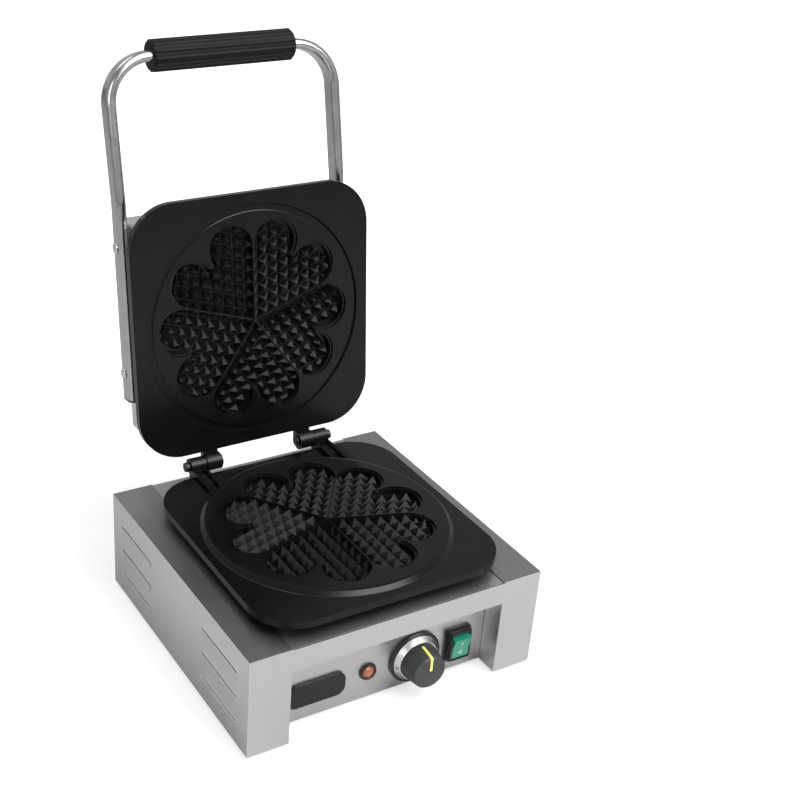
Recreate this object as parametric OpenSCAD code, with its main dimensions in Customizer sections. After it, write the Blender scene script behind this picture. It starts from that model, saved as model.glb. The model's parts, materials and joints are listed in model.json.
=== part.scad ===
// Countertop waffle maker with two cast heart plates, a stainless base and a swing-up lid.
// Millimetres. X right as seen from the front, -Y front, Z up.
// The origin is on the ground, below the middle of the whole machine with its lid open.
// The parts are drawn about the middle of the base, and middle_y moves them to that origin.

/* [Base shell] */
// Width of the base shell
base_w = 305; // [290:1:330]
// Depth of the base shell, front to back
base_d = 295; // [285:1:320]
// Height of the base shell without its feet
shell_h = 103.5; // [95:0.5:120]
// Thickness of the stainless sheet
gauge = 1.2; // [0.8:0.1:1.6]
// Width of the centre deck, between the two front legs
deck_w = 222; // [210:1:232]
// Height of the band across the front
band_h = 24; // [20:0.5:28]
// How far the control panel is set back behind the front
recess_d = 23.5; // [16:0.5:26]
// How far the centre deck lies below the side strips
deck_drop = 1; // [0.6:0.1:2]
// Width of the ledge that the centre deck rests on
ledge_w = 7; // [5:0.5:8]
// Width of the folded flanges of the shell
flange_w = 13; // [10:0.5:15]
// Gap between neighbouring sheet parts
sheet_gap = 0.3; // [0.2:0.05:0.5]

/* [Feet] */
// Height of the rubber feet below the shell
foot_h = 3; // [2:0.5:8]
// Radius of a rubber foot
foot_r = 9; // [6:0.5:11]
// Inset of the foot centres from the shell's front and back
foot_inset = 20; // [18:0.5:30]

/* [Louvers] */
// Length of a side louver between its round ends
louver_l = 68; // [50:1:74]
// Height of a louver
louver_h = 7; // [5:0.5:9]
// How far a louver stands out
louver_out = 1.6; // [1.4:0.2:4]
// Louvers in one group
louver_n = 3; // [1:1:3]
// Height from one louver to the next
louver_pitch = 26.8; // [20:0.2:28]
// Height of the lowest louver above the shell's bottom edge
louver_z = 17; // [14:0.5:24]
// Distance from the base centre to the middle of a louver group
louver_y = 91; // [80:1:98]

/* [Plates] */
// Side of the square cast plates
plate_side = 256; // [250:1:262]
// Corner radius of the plates
plate_r = 46; // [36:1:56]
// Place of the plates' centre, front to back
plate_y = -10.7; // [-14:0.1:-6]
// Height of the lower plate's flange face above the side strips
plate_lift = 16.5; // [15:0.5:22]
// Thickness of the plate flanges
flange_t = 7; // [6:0.5:9]
// Thickness of the round casting behind the flange
body_t = 7; // [7:0.5:10]
// Radius of the round casting behind the flange
body_r = 118; // [114:0.5:122]
// Height of the raised disc on the lower plate
deck_h = 4.8; // [4:0.1:6]
// Radius at the foot of the raised disc
deck_foot_r = 120.5; // [119:0.5:124]
// Gap between the round casting and the plate spacers
spacer_gap = 2.3; // [1:0.1:5]
// Radius of a plate spacer
spacer_r = 7; // [5.5:0.5:9]
// Gap between the closed plates
closed_gap = 0.4; // [0.3:0.1:1]
// Radius of the middle of the batter groove in the upper plate
groove_r = 113; // [112:0.5:114]
// Width of the batter groove
groove_w = 8; // [6:0.5:8]
// Depth of the batter groove
groove_d = 2.4; // [1.5:0.1:3]

/* [Hearts] */
// Hearts in the flower
heart_n = 5; // [5:1:5]
// Distance from the flower's centre to a lobe's centre
lobe_at = 79.6; // [76:0.2:81]
// Radius of a lobe's outer rim
lobe_r = 24; // [23:0.1:24.2]
// Width of the step inside the rim
rim_step = 2.4; // [1.5:0.1:3]
// Depth of the step inside the rim
rim_drop = 2; // [1:0.1:3]
// Depth of the heart cavities
cavity_d = 8; // [6:0.2:9]
// Width of the ridge between two hearts at the plate face
ridge_w = 1.2; // [1:0.1:2.4]
// Distance between pyramid rows
pitch = 11.7; // [10:0.1:13]
// Height of the pyramids
pyramid_h = 6.4; // [4:0.1:6.8]
// Width of the flat top of a pyramid
pyramid_top = 1; // [0.6:0.1:2]
// Gap between the pyramid field and the wall round a lobe
field_gap = 3.8; // [2:0.1:4.4]

/* [Hinge] */
// Distance of the hinge axis behind the plates' rear edge
hinge_back = 12.6; // [11:0.1:16]
// Radius of the upper plate's hinge knuckles
knuckle_r = 9; // [8:0.25:10]
// Radius of the lower plate's hinge knuckles
outer_r = 8; // [7:0.25:10]
// Distance from the centre plane to the joint between the inner and the outer knuckles
knuckle_x = 61.5; // [56:0.5:66]
// Width of a knuckle
knuckle_w = 16; // [12:0.5:18]
// Gap between two knuckles
knuckle_gap = 1; // [0.6:0.1:1.5]
// Radius of the hinge pins
pin_r = 4; // [3:0.25:4.5]
// Running clearance of the pins in the upper knuckles
pin_fit = 0.06; // [0.02:0.01:0.09]
// How far the lid turns from open to closed
open_angle = 96.52; // [92:0.01:102]

/* [Heating] */
// Radius of the heating element's loop
element_r = 76; // [60:1:82]
// Radius of the element tube
element_tube = 4; // [3:0.25:4.5]
// Angle left open between the element's ends
element_open = 24; // [16:1:40]
// Thickness of the steel disc that clamps the element
clamp_t = 2; // [1.5:0.25:3]
// Thickness of the insulation
wool_t = 13; // [8:0.5:14]
// Radius of the opening in the centre deck
opening_r = 98; // [90:0.5:99]

/* [Lid cover] */
// Width of the lid cover
cover_w = 223; // [210:1:228]
// Distance the cover reaches from the plate centre towards the hinge
cover_back = 114; // [104:1:116]
// Distance the cover reaches from the plate centre towards the handle
cover_front = 104; // [100:1:110]
// Depth of the cover behind the round casting
cover_h = 46; // [40:1:56]
// Corner radius of the cover
cover_r = 6; // [4:0.5:12]

/* [Handle] */
// Thickness of the flat-oval handle tube
tube_t = 10; // [8:0.5:12]
// Width of the flat-oval handle tube
tube_w = 20; // [16:0.5:22]
// Wall of the handle tube
tube_wall = 1.5; // [1:0.1:2]
// Height of the tube's middle above the closed plate face
tube_up = 43.6; // [40:0.2:48]
// Distance from the plate centre to the grip's middle
grip_at = 250.5; // [236:0.5:262]
// Distance from the plate centre to the bend where the handle leaves the cover
kink_at = 122; // [112:1:132]
// Distance from the plate centre to the handle's lower ends
handle_end = 73; // [64:1:84]
// Angle that the upper handle leans back
kink_angle = 5.4; // [2:0.1:8]
// Bend radius of the handle's upper corners
bend_r = 42; // [36:1:50]
// Thickness of the washers between cover and handle
washer_t = 1.5; // [1:0.25:3]
// Radius of the black grip without its ribs
grip_r = 14.5; // [13:0.25:16]
// Number of ribs around the grip
rib_n = 16; // [12:1:20]
// Radius of a grip rib
rib_r = 1.2; // [1:0.1:2.2]
// Distance from the plate centre to the front handle bolt
bolt_front = 80; // [70:1:90]
// Distance from the plate centre to the rear handle bolt
bolt_back = 46.5; // [36:0.5:56]

/* [Controls] */
// Height of the control row above the shell's bottom edge
control_z = 30; // [28:0.5:34]
// Distance from the dial's middle to the switch's middle
dial_apart = 48; // [46:0.5:52]
// Radius of the black dial rim
dial_r = 27; // [25:0.5:28]
// Radius of the silver scale ring
scale_r = 24.2; // [23:0.1:24.6]
// Depth of the dial rim
dial_t = 4; // [3:0.25:6]
// How far the silver scale ring stands out of the dial rim
ring_h = 5; // [3:0.25:6]
// Radius of the knob at its base
knob_r = 19.6; // [18:0.1:20]
// Radius of the knob at its front
knob_face_r = 17; // [15:0.1:18]
// Length of the knob
knob_l = 19; // [16:0.5:26]
// Distance from the panel's right end to the switch's middle
switch_end = 30; // [26:0.5:34]
// Width of the switch frame
switch_w = 28.5; // [26:0.5:30]
// Height of the switch frame
switch_h = 37; // [34:0.5:40]
// Height of the raised collar of the switch
collar_h = 8; // [5:0.5:10]
// Angle between the two positions of the rocker
rocker_angle = 22; // [10:1:28]
// Place of the lamp, left to right
lamp_x = -17.5; // [-22:0.5:-12]
// Radius of the lamp bezel
lamp_r = 9.2; // [8:0.1:11]
// Distance from the panel's left end to the name plate
badge_end = 9; // [6:0.5:14]
// Width of the bare name plate
badge_w = 60; // [50:1:64]
// Height of the bare name plate
badge_h = 25.5; // [20:0.5:28]

/* [Hidden] */
$fn = 64;
e = 0.01;                                   // overshoot of a cut
half_w = base_w / 2;
half_d = base_d / 2;
shell_z = foot_h;                           // bottom edge of the shell
top_z = shell_z + shell_h;                  // top of the side strips
deck_z = top_z - deck_drop;                 // top of the centre deck
band_z = top_z - band_h;                    // lower edge of the front band
leg_x = deck_w / 2;                         // inner edge of legs and strips
foot_x = (half_w + leg_x) / 2;              // feet, below the middle of the legs
panel_y = -half_d + recess_d;               // front face of the control panel
back_y = half_d - 2 * gauge;                // inner face of the back panel
row_z = shell_z + control_z;                // height of the control row
switch_x = leg_x - switch_end;
dial_x = switch_x - dial_apart;
badge_x = badge_end + badge_w / 2 - leg_x;
flange_z = top_z + plate_lift;              // lower plate's flange face
rise = deck_h + closed_gap;                 // distance between the closed flange faces
face_z = flange_z + rise;                   // upper plate's face, lid closed
hinge_y = plate_y + plate_side / 2 + hinge_back;
hinge_z = face_z + 0.2;
lobe_half = 180 / heart_n / 2;              // half the angle between two lobes
deck_r = deck_foot_r - 8;                   // radius of the flat top of the raised disc
bore_fit = 0.2;                             // clearance of a screw in its hole
touch = 0.05;                               // clearance of parts pushed onto each other
floor_z = shell_z + gauge;                  // top of the shell's bottom flanges
ring_sink = 1;                              // how deep the scale ring sits in the dial rim

// Lid heights, lid closed
lid_back = face_z + flange_t + body_t;      // back of the upper casting
tube_z = face_z + tube_up;
cover_x = cover_w / 2;
tube_x = cover_x + washer_t + tube_t / 2;

// Screws: shank radius, head radius, head height
m4 = [2, 3.8, 2.2];
m6 = [3, 5.2, 3.4];

// ---- shared shapes ----

// A box from its lowest to its highest corner
module box(lo, hi) translate(lo) cube(hi - lo);

// The same shape on both sides of the centre plane
module both() {
    children();
    mirror([1, 0, 0]) children();
}

// A flat rounded rectangle about the origin
module rounded(w, d, r) {
    square([w, d - 2 * r], center = true);
    square([w - 2 * r, d], center = true);
    for (x = [-1, 1], y = [-1, 1]) translate([x * (w / 2 - r), y * (d / 2 - r)]) circle(r);
}

// A cylinder along Y from y0 to y1
module rod_y(x, z, r, y0, y1) translate([x, y0, z]) rotate([-90, 0, 0]) cylinder(r = r, h = y1 - y0);

// A cylinder along X from x0 to x1
module rod_x(y, z, r, x0, x1) translate([x0, y, z]) rotate([0, 90, 0]) cylinder(r = r, h = x1 - x0);

// A pan-head screw at the origin: its head stands on Z = 0 and its shank points down
module screw(size, length) {
    cylinder(r1 = size[1], r2 = size[1] * 0.72, h = size[2]);
    translate([0, 0, -length]) cylinder(r = size[0], h = length + e);
}

// The flat-oval section of the handle tube
module oval(t, w) {
    square([t, w - t], center = true);
    for (s = [-1, 1]) translate([0, s * (w - t) / 2]) circle(t / 2);
}

// Turns parts drawn on the closed lid to the open rest position
module on_lid() {
    translate([0, hinge_y, hinge_z]) rotate([-open_angle, 0, 0])
        translate([0, -hinge_y, -hinge_z]) children();
}

// Places of the studs and screws, shared by the sheets that they join
panel_stud_at = [for (x = [-1, 1], z = [14, band_z - shell_z - 12])
    [x * (leg_x - flange_w / 2), shell_z + z]];
back_screw_at = [for (x = [-1, 1], z = [16, shell_h / 2, shell_h - 14])
    [x * (half_w - flange_w / 2 - gauge), shell_z + z]];
foot_at = [for (x = [-1, 1], y = [-1, 1]) [x * foot_x, y * (half_d - foot_inset)]];
bottom_screw_at = [for (x = [-1, 1], y = [-1, 1]) [x * foot_x, y * half_d / 3]];
spacer_off = (body_r + spacer_gap + spacer_r) * sin(45);
spacer_at = [for (x = [-1, 1], y = [-1, 1]) [x * spacer_off, plate_y + y * spacer_off]];

// ---- base shell ----

// A wedge that leans out of the plane x = 0
module louver_wedge(out, h, l) rotate([90, 0, 0]) linear_extrude(l, center = true)
    polygon([[0, 0], [out, h], [0, h]]);

// The places of all louvers on the right side
module at_louvers() {
    for (y = [-louver_y, louver_y], i = [0 : louver_n - 1])
        translate([half_w, y, shell_z + louver_z + i * louver_pitch]) children();
}

// Pressed louvers, open at the top: a sloping hood between two solid round ends
module louvers() {
    difference() {
        at_louvers() {
            louver_wedge(louver_out, louver_h, louver_l);
            for (s = [-1, 1]) translate([0, s * louver_l / 2, 0])
                cylinder(r1 = 0, r2 = louver_out, h = louver_h);
        }
        at_louvers() translate([-gauge, 0, 0]) louver_wedge(louver_out, louver_h + e, louver_l);
        translate([0, -base_d, 0]) cube([half_w, 2 * base_d, top_z]);
    }
}

module housing() color("silver") {
    both() {
        // side wall with louver slots
        difference() {
            box([half_w - gauge, -half_d, shell_z], [half_w, half_d, top_z]);
            at_louvers() translate([-gauge - e, -louver_l / 2, louver_h * 0.3])
                cube([gauge + 2 * e, louver_l, louver_h * 0.7]);
        }
        louvers();
        // top strip with the joggled ledge for the centre deck
        box([leg_x, -half_d, top_z - gauge], [half_w, half_d, top_z]);
        box([leg_x, -half_d + gauge, deck_z - 2 * gauge], [leg_x + gauge, back_y - sheet_gap, top_z]);
        box([leg_x - ledge_w, -half_d + gauge, deck_z - 2 * gauge],
            [leg_x + gauge, back_y - sheet_gap, deck_z - gauge]);
        // front leg, recess wall and the flange that carries the control panel
        box([leg_x, -half_d, shell_z], [half_w, -half_d + gauge, top_z]);
        box([leg_x, -half_d, shell_z], [leg_x + gauge, panel_y + 2 * gauge, band_z + gauge]);
        difference() {
            box([leg_x - flange_w, panel_y + gauge, shell_z],
                [leg_x + gauge, panel_y + 2 * gauge, band_z + gauge]);
            for (p = panel_stud_at) rod_y(abs(p[0]), p[1], m4[0] + bore_fit, panel_y, panel_y + 3 * gauge);
        }
        // rear flange that carries the back panel
        difference() {
            box([half_w - gauge - flange_w, half_d - 3 * gauge, shell_z],
                [half_w - gauge + e, half_d - 2 * gauge, top_z - gauge]);
            for (p = back_screw_at) rod_y(abs(p[0]), p[1], m4[0] + bore_fit, half_d - 4 * gauge, half_d);
        }
        // bottom flange
        difference() {
            box([leg_x + gauge + sheet_gap, -half_d, shell_z], [half_w, half_d - 3 * gauge, floor_z]);
            for (p = concat(foot_at, bottom_screw_at)) translate([abs(p[0]), p[1], 0])
                cylinder(r = m4[0] + bore_fit, h = 2 * floor_z);
        }
    }
    // front band and the fold under it
    box([-leg_x - e, -half_d, band_z], [leg_x + e, -half_d + gauge, top_z - deck_drop]);
    box([-leg_x - gauge, -half_d, band_z], [leg_x + gauge, panel_y + 2 * gauge, band_z + gauge]);
}

module top_plate() color("gainsboro") difference() {
    w = leg_x - sheet_gap;
    box([-w, -half_d + gauge + sheet_gap, deck_z - gauge], [w, half_d, deck_z]);
    translate([0, plate_y, 0]) cylinder(r = opening_r, h = 2 * deck_z, $fn = 96);
    for (p = spacer_at) translate([p[0], p[1], 0]) cylinder(r = m6[0] + bore_fit, h = 2 * deck_z);
}

// The panel, with weld studs on its back that reach through the housing's flanges
module control_panel() color("lightgray") {
    w = leg_x - sheet_gap;
    difference() {
        box([-w, panel_y, shell_z + sheet_gap], [w, panel_y + gauge, band_z - sheet_gap]);
        rod_y(dial_x, row_z, bush_r + bore_fit, panel_y - 1, panel_y + 2 * gauge);
        rod_y(lamp_x, row_z, lamp_neck_r + bore_fit, panel_y - 1, panel_y + 2 * gauge);
        translate([switch_x - body_w / 2, panel_y - 1, row_z - body_h / 2]) cube([body_w, 4, body_h]);
    }
    for (p = panel_stud_at) rod_y(p[0], p[1], m4[0], panel_y + gauge - e, panel_y + 2 * gauge + stud_out);
}

module back_panel() color("lightgray") {
    w = half_w - gauge - sheet_gap;
    difference() {
        box([-w, back_y, shell_z + sheet_gap], [w, back_y + gauge, deck_z - gauge - sheet_gap]);
        for (p = back_screw_at) rod_y(p[0], p[1], m4[0] + bore_fit, half_d - 3 * gauge, half_d);
        rod_y(gland_x, gland_z, gland_neck_r + bore_fit, half_d - 3 * gauge, half_d);
        rod_y(lead_x, lead_z, lead_neck_r + bore_fit, half_d - 3 * gauge, half_d);
        for (x = [-3 : 3], row = [0, 1])
            translate([x * 14 - 2, half_d - 3 * gauge, shell_z + 60 + row * 14]) cube([4, 4 * gauge, 9]);
    }
}

module bottom_plate() color("darkgray") difference() {
    w = half_w - gauge - sheet_gap;
    union() {
        box([-w, panel_y + 2 * gauge + sheet_gap, floor_z],
            [w, half_d - 3 * gauge - sheet_gap, floor_z + gauge]);
        both() box([leg_x + gauge + sheet_gap, -half_d + gauge + sheet_gap, floor_z],
            [w, 0, floor_z + gauge]);
    }
    for (p = concat(foot_at, bottom_screw_at)) translate([p[0], p[1], 0])
        cylinder(r = m4[0] + bore_fit, h = 4 * floor_z);
    for (x = [-4 : 4], y = [-60, 30]) translate([x * 18 - 2.5, y, 0]) cube([5, 40, 4 * floor_z]);
}

// Rubber feet, each held by a screw from inside
module rubber_feet() color("dimgray") for (p = foot_at) translate([p[0], p[1], 0]) difference() {
    cylinder(r1 = foot_r - 1, r2 = foot_r, h = foot_h);
    translate([0, 0, 1]) cylinder(r = m4[0] + touch, h = foot_h);
}

// ---- control panel parts ----
bush_r = 5;                                 // radius of the thermostat's threaded neck
bush_out = 2.4;                             // how far the neck reaches past the panel
lens_r = 6.4;                               // radius of the lamp's lens
lamp_neck_r = 7.6;                          // radius of the lamp's neck
body_w = 24;                                // width of the switch body
body_h = 30;                                // height of the switch body
shaft_r = 3;                                // radius of the thermostat shaft
knob_gap = 0.6;                             // between the scale ring and the knob
ring_y = panel_y - dial_t + ring_sink;      // back of the scale ring
knob_y = ring_y - ring_sink - ring_h - knob_gap; // back of the knob
shaft_in = 12;                              // how far the shaft reaches into knob and thermostat
nut_r = 4;                                  // half the width of an M4 nut over its corners
nut_h = 3;
stud_out = 5;                               // how far the panel's studs reach past the flanges
badge_t = 3;                                // thickness of the name plate
gland_x = 60;
gland_z = shell_z + 32;
gland_neck_r = 8;
gland_bore_r = 4;                           // radius of the way through the gland
lead_x = 60;
lead_z = shell_z + 66;
lead_neck_r = 7;

module name_plate() color("#202022")
    translate([badge_x, panel_y, row_z - 1.7]) rotate([90, 0, 0])
        linear_extrude(badge_t) rounded(badge_w, badge_h, 9.5);

module lamp_bezel() color("#242426") translate([lamp_x, panel_y, row_z]) rotate([90, 0, 0]) difference() {
    union() {
        cylinder(r1 = lamp_r, r2 = lamp_r - 1.2, h = 3.2);
        translate([0, 0, -14]) cylinder(r = lamp_neck_r, h = 14 + e);
    }
    translate([0, 0, -12]) cylinder(r = lens_r + touch, h = 20);
    translate([0, 0, 2.4]) cylinder(r1 = lens_r, r2 = lens_r + 1.4, h = 1.4);
}

module lamp_lens() color("#a86c4c") translate([lamp_x, panel_y, row_z]) rotate([90, 0, 0])
    rotate_extrude() intersection() {
        translate([0, -10]) square([lens_r, 20]);
        union() {
            translate([0, -10]) square([lens_r, 11]);
            translate([0, -3.2]) circle(8);
        }
    }

// The fixed dial: a black rim and a silver scale ring
module dial_rim() color("#1d1d1f") translate([dial_x, panel_y, row_z]) rotate([90, 0, 0]) difference() {
    union() {
        cylinder(r = dial_r, h = dial_t - 1.2);
        translate([0, 0, dial_t - 1.2 - e]) cylinder(r1 = dial_r, r2 = dial_r - 1.4, h = 1.2);
    }
    translate([0, 0, dial_t - ring_sink]) cylinder(r = scale_r + touch, h = 2 * ring_sink);
    translate([0, 0, -1]) cylinder(r = bush_r + bore_fit, h = dial_t + 2);
}

// The silver scale ring, tapering towards the knob
module dial_ring() color("#c8c8c6") translate([dial_x, ring_y, row_z]) rotate([90, 0, 0]) difference() {
    union() {
        cylinder(r = scale_r, h = ring_sink);
        translate([0, 0, ring_sink - e]) cylinder(r1 = scale_r, r2 = knob_r + 0.9, h = ring_h + e);
    }
    translate([0, 0, -1]) cylinder(r = shaft_r + 4, h = ring_h + 4);
}

thermo = [40, 30, 20];                      // size of the thermostat's body
tab = [6, 0.8, 9];                          // size of a flat connector
module thermostat_body() color("#b9b2a0") translate([dial_x, panel_y + gauge, row_z]) rotate([-90, 0, 0])
    difference() {
        union() {
            translate([-thermo[0] / 2, -thermo[1] / 2, 0]) cube(thermo);
            translate([0, 0, -gauge - bush_out]) cylinder(r = bush_r, h = gauge + bush_out + e);
            for (s = [-1, 1]) translate([s * 2 * tab[0] - tab[0] / 2, -tab[1] / 2, thermo[2] - e]) cube(tab);
        }
        translate([0, 0, -6]) cylinder(r = shaft_r + 0.06, h = 6 + shaft_in + 2);
    }

module thermostat_shaft() color("#9a9a98") translate([dial_x, 0, row_z]) rotate([90, 0, 0])
    translate([0, 0, -(panel_y + gauge + shaft_in)])
        cylinder(r = shaft_r, h = 2 * shaft_in + gauge + panel_y - knob_y);

// A capillary from the thermostat up to its bulb in the lower casting
bulb_y = plate_y - 40;
bulb_half = 30;                             // half the length of the bulb
bulb_r = 2.6;
capillary_r = 0.9;
capillary_bend = 10;                        // bend radius of the capillary
bulb_room = 8;                              // width of the room left for the bulb
capillary_y = panel_y + gauge + shaft_in;
bulb_z = flange_z - flange_t - body_t - 8.6;
module thermostat_bulb() color("#b87333") {
    bend_y = capillary_y + capillary_bend;
    bend_z = bulb_z - capillary_bend;
    rod_y(dial_x, bulb_z, bulb_r, bulb_y - bulb_half, bulb_y + bulb_half);
    rod_y(dial_x, bulb_z, capillary_r, bend_y, bulb_y - bulb_half + 1);
    translate([dial_x, bend_y, bend_z]) rotate([180, -90, 0])
        rotate_extrude(angle = 90) translate([capillary_bend, 0]) circle(capillary_r);
    translate([dial_x, capillary_y, row_z + thermo[1] / 2])
        cylinder(r = capillary_r, h = bend_z - row_z - thermo[1] / 2);
}

module safety_cutout() color("#d8cfb8") translate([-60, half_d - 90, floor_z + gauge]) {
    difference() {
        union() {
            translate([-14, -5, 0]) cube([28, 10, 1]);
            cylinder(r = 8, h = 12);
            for (x = [-4.5, 4.5]) translate([x - 1.5, -0.4, 12 - e]) cube([3, 0.8, 8]);
        }
        for (x = [-11, 11]) translate([x, 0, -1]) cylinder(r = 1.7, h = 3);
    }
}

terminal = [60, 22, 18];                    // size of the terminal block
terminal_step = 18;                         // from one terminal to the next
terminal_back = 62;                         // from the shell's back to the block's front
module terminal_block() color("#e9e4d4") translate([gland_x, half_d - terminal_back, floor_z + gauge])
    difference() {
        translate([-terminal[0] / 2, 0, 0]) cube(terminal);
        for (i = [-1 : 1]) translate([i * terminal_step, terminal[1] / 2, terminal[2] / 3])
            cylinder(r = terminal_step / 6, h = terminal[2]);
        for (i = [-1 : 1]) translate([i * terminal_step, -1, terminal[2] / 2]) rotate([-90, 0, 0])
            cylinder(r = terminal_step / 7, h = terminal[1] + 2);
    }

module earth_stud() color("#c9b458") translate([-20, half_d - 60, floor_z + gauge]) {
    cylinder(r = 2.5, h = 16);
    translate([0, 0, 3]) cylinder(r = 5, h = 3.4, $fn = 6);
    translate([0, 0, 8]) cylinder(r = 5, h = 3.4, $fn = 6);
}

// Mains inlet: a screwed gland through the back panel
module cable_gland() color("#2b2b2d") translate([gland_x, half_d - gauge, gland_z]) rotate([-90, 0, 0])
    difference() {
        union() {
            translate([0, 0, -12]) cylinder(r = gland_neck_r, h = 12 + e);
            cylinder(r = 12, h = 4, $fn = 6);
            translate([0, 0, 4 - e]) cylinder(r1 = 10.5, r2 = 7, h = 12);
            translate([0, 0, -8]) cylinder(r = 11, h = 8 - gauge, $fn = 6);
        }
        translate([0, 0, -13]) cylinder(r = gland_bore_r, h = 30);
    }

module switch_frame() color("#1c1c1e") translate([switch_x, panel_y, row_z]) rotate([90, 0, 0]) difference() {
    union() {
        linear_extrude(2.4) rounded(switch_w, switch_h, 4);
        linear_extrude(collar_h - 2) rounded(rocker_w + 6.6, rocker_h + 6.6, 2.4);
        linear_extrude(collar_h) rounded(rocker_w + 4.2, rocker_h + 4.2, 1.6);
    }
    translate([0, 0, -1]) linear_extrude(collar_h + 2) square([rocker_w + 1, rocker_h + 1.6], center = true);
    rod_x(0, panel_y - pivot_y, pivot_r + 0.06, -rocker_w / 2 - 1.8, rocker_w / 2 + 1.8);
}
rocker_w = 18.5;
rocker_h = 26.5;
pivot_y = panel_y - 2.2;                    // rocker's pivot, just in front of the panel
pivot_r = 1.5;                              // radius of the rocker's pivot stubs

module switch_body() color("#2c2c2e") translate([switch_x, panel_y, row_z]) rotate([-90, 0, 0]) difference() {
    union() {
        translate([-body_w / 2 + touch, -body_h / 2 + touch, 0])
            cube([body_w - 2 * touch, body_h - 2 * touch, 26]);
        for (x = [-6, 6], y = [-9, 9]) translate([x - 0.4, y - 3, 26 - e]) cube([0.8, 6, 9]);
    }
    translate([-rocker_w / 2 - 0.6, -rocker_h / 2 - 0.6, -1]) cube([rocker_w + 1.2, rocker_h + 1.2, 9]);
}

// The rocker, drawn level and tipped so that its lower end is pressed in
module switch_rocker() color("#3fa583") translate([switch_x, pivot_y, row_z]) rotate([rocker_angle / 2, 0, 0])
    union() {
        rotate([90, 0, 90]) linear_extrude(rocker_w, center = true) polygon([
            [5, -6], [5, 6], [-1, rocker_h / 2 - 0.9], [-7.8, rocker_h / 2 - 1.6], [-6.4, 0],
            [-7.8, -rocker_h / 2 + 1.6], [-1, -rocker_h / 2 + 0.9]]);
        rod_x(0, 0, pivot_r, -rocker_w / 2 - 1.5, rocker_w / 2 + 1.5);
    }

// The knob's outer shape, grown by a skin
module knob_shape(skin) rotate([90, 0, 0]) {
    cylinder(r1 = knob_r + skin, r2 = knob_face_r + skin, h = knob_l - 1.6 + skin / 2);
    translate([0, 0, knob_l - 1.6 + skin / 2 - e])
        cylinder(r1 = knob_face_r + skin, r2 = knob_face_r - 1.4 + skin, h = 1.6 + skin / 2);
}

module knob() color("#3a3b3d") translate([dial_x, knob_y, row_z]) difference() {
    knob_shape(0);
    rotate([90, 0, 0]) translate([0, 0, -1]) cylinder(r = shaft_r + touch, h = shaft_in + 2);
    // hollow back around the shaft socket
    rotate([90, 0, 0]) translate([0, 0, -1]) difference() {
        cylinder(r = knob_r - 4.4, h = shaft_in + 1);
        cylinder(r = 2 * shaft_r, h = shaft_in + 2);
    }
}

// The pointer line, from the knob's side over its edge to the middle of its face
module pointer_mark() color("#d9de63") translate([dial_x, knob_y, row_z]) difference() {
    intersection() {
        knob_shape(0.5);
        translate([-1.3, -knob_l - 5, 2.5]) cube([2.6, knob_l + 2, knob_r + 5]);
    }
    knob_shape(0);
}

// ---- plates ----

// A flat heart about the X axis: two lobes of a radius, with straight sides that keep a
// distance from the lines between the hearts all the way out to the lobes. A side that would
// all but touch its lobe is laid on it.
module heart(r, side) {
    along = [cos(2 * lobe_half), sin(2 * lobe_half)];
    inward = [along[1], -along[0]];
    lobe = lobe_at * [cos(lobe_half), sin(lobe_half)];
    foot = lobe_at * cos(lobe_half) * along;
    near = foot + (side + r) * inward;
    gap = abs(side + r - lobe[1]) < 0.05 ? lobe[1] - r : side;
    end = foot + gap * inward;
    difference() {
        union() {
            for (s = [0, 1]) mirror([0, s]) {
                translate(lobe) circle(r);
                if (side + r < lobe[1] - 0.05) {
                    translate(near) circle(r);
                    polygon([near, near + r * along, lobe + r * along, lobe]);
                }
            }
            polygon([[gap / along[1], 0], end, lobe, [lobe[0], -lobe[1]], [end[0], -end[1]]]);
        }
        translate([lobe[0], 0]) circle(lobe[1] - r);
    }
}

// The angle of each heart's axis
function heart_angle(i) = 90 + i * 360 / heart_n;

// The flower of heart cavities below the plane z = 0, and the pyramid fields standing in it
module flower_cut() {
    for (i = [0 : heart_n - 1]) rotate([0, 0, heart_angle(i)]) {
        translate([0, 0, -rim_drop]) linear_extrude(rim_drop + 1) heart(lobe_r, ridge_w / 2);
        translate([0, 0, -cavity_d]) linear_extrude(cavity_d) heart(lobe_r - rim_step, ridge_w / 2 + 0.3);
    }
}

// One V groove between two pyramid rows, along +X
module pyramid_groove() {
    half_top = (pitch - pyramid_top) / 2;
    rotate([90, 0, 90]) linear_extrude(3 * lobe_at, center = true)
        polygon([[-0.3, 0], [0.3, 0], [half_top, pyramid_h + e], [-half_top, pyramid_h + e]]);
}

module pyramid_field() {
    half = 2 * lobe_half;
    rows = ceil((lobe_at + lobe_r) / pitch);
    difference() {
        linear_extrude(pyramid_h) heart(lobe_r - rim_step - field_gap, ridge_w / 2 + 0.1);
        for (s = [-1, 1]) rotate([0, 0, s * half])
            for (k = [0 : rows]) translate([0, -s * (k + 0.62) * pitch, 0]) pyramid_groove();
    }
}

module pyramid_fields() {
    for (i = [0 : heart_n - 1]) rotate([0, 0, heart_angle(i)])
        translate([0, 0, -cavity_d - e]) pyramid_field();
}

// The ring groove that catches batter, in a face at z = 0
module batter_groove() {
    inner = groove_r - groove_w / 2;
    outer = groove_r + groove_w / 2;
    rotate_extrude($fn = 128) polygon([[inner, 1], [inner, -groove_d + 0.4], [inner + 0.6, -groove_d],
        [outer - 1.6, -groove_d], [outer, 1]]);
}

// The channel for the heating element, in a face at z = 0
module element_channel() {
    start = element_open / 2 - 90;
    rotate([0, 0, start]) rotate_extrude(angle = 360 - element_open, $fn = 96)
        translate([element_r, 0]) circle(element_tube + touch);
    for (s = [-1, 1]) rotate([0, 0, -90 + s * element_open / 2]) translate([element_r, 0, -1])
        cylinder(r = leg_r + touch, h = leg_top + 1 + touch);
}

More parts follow.
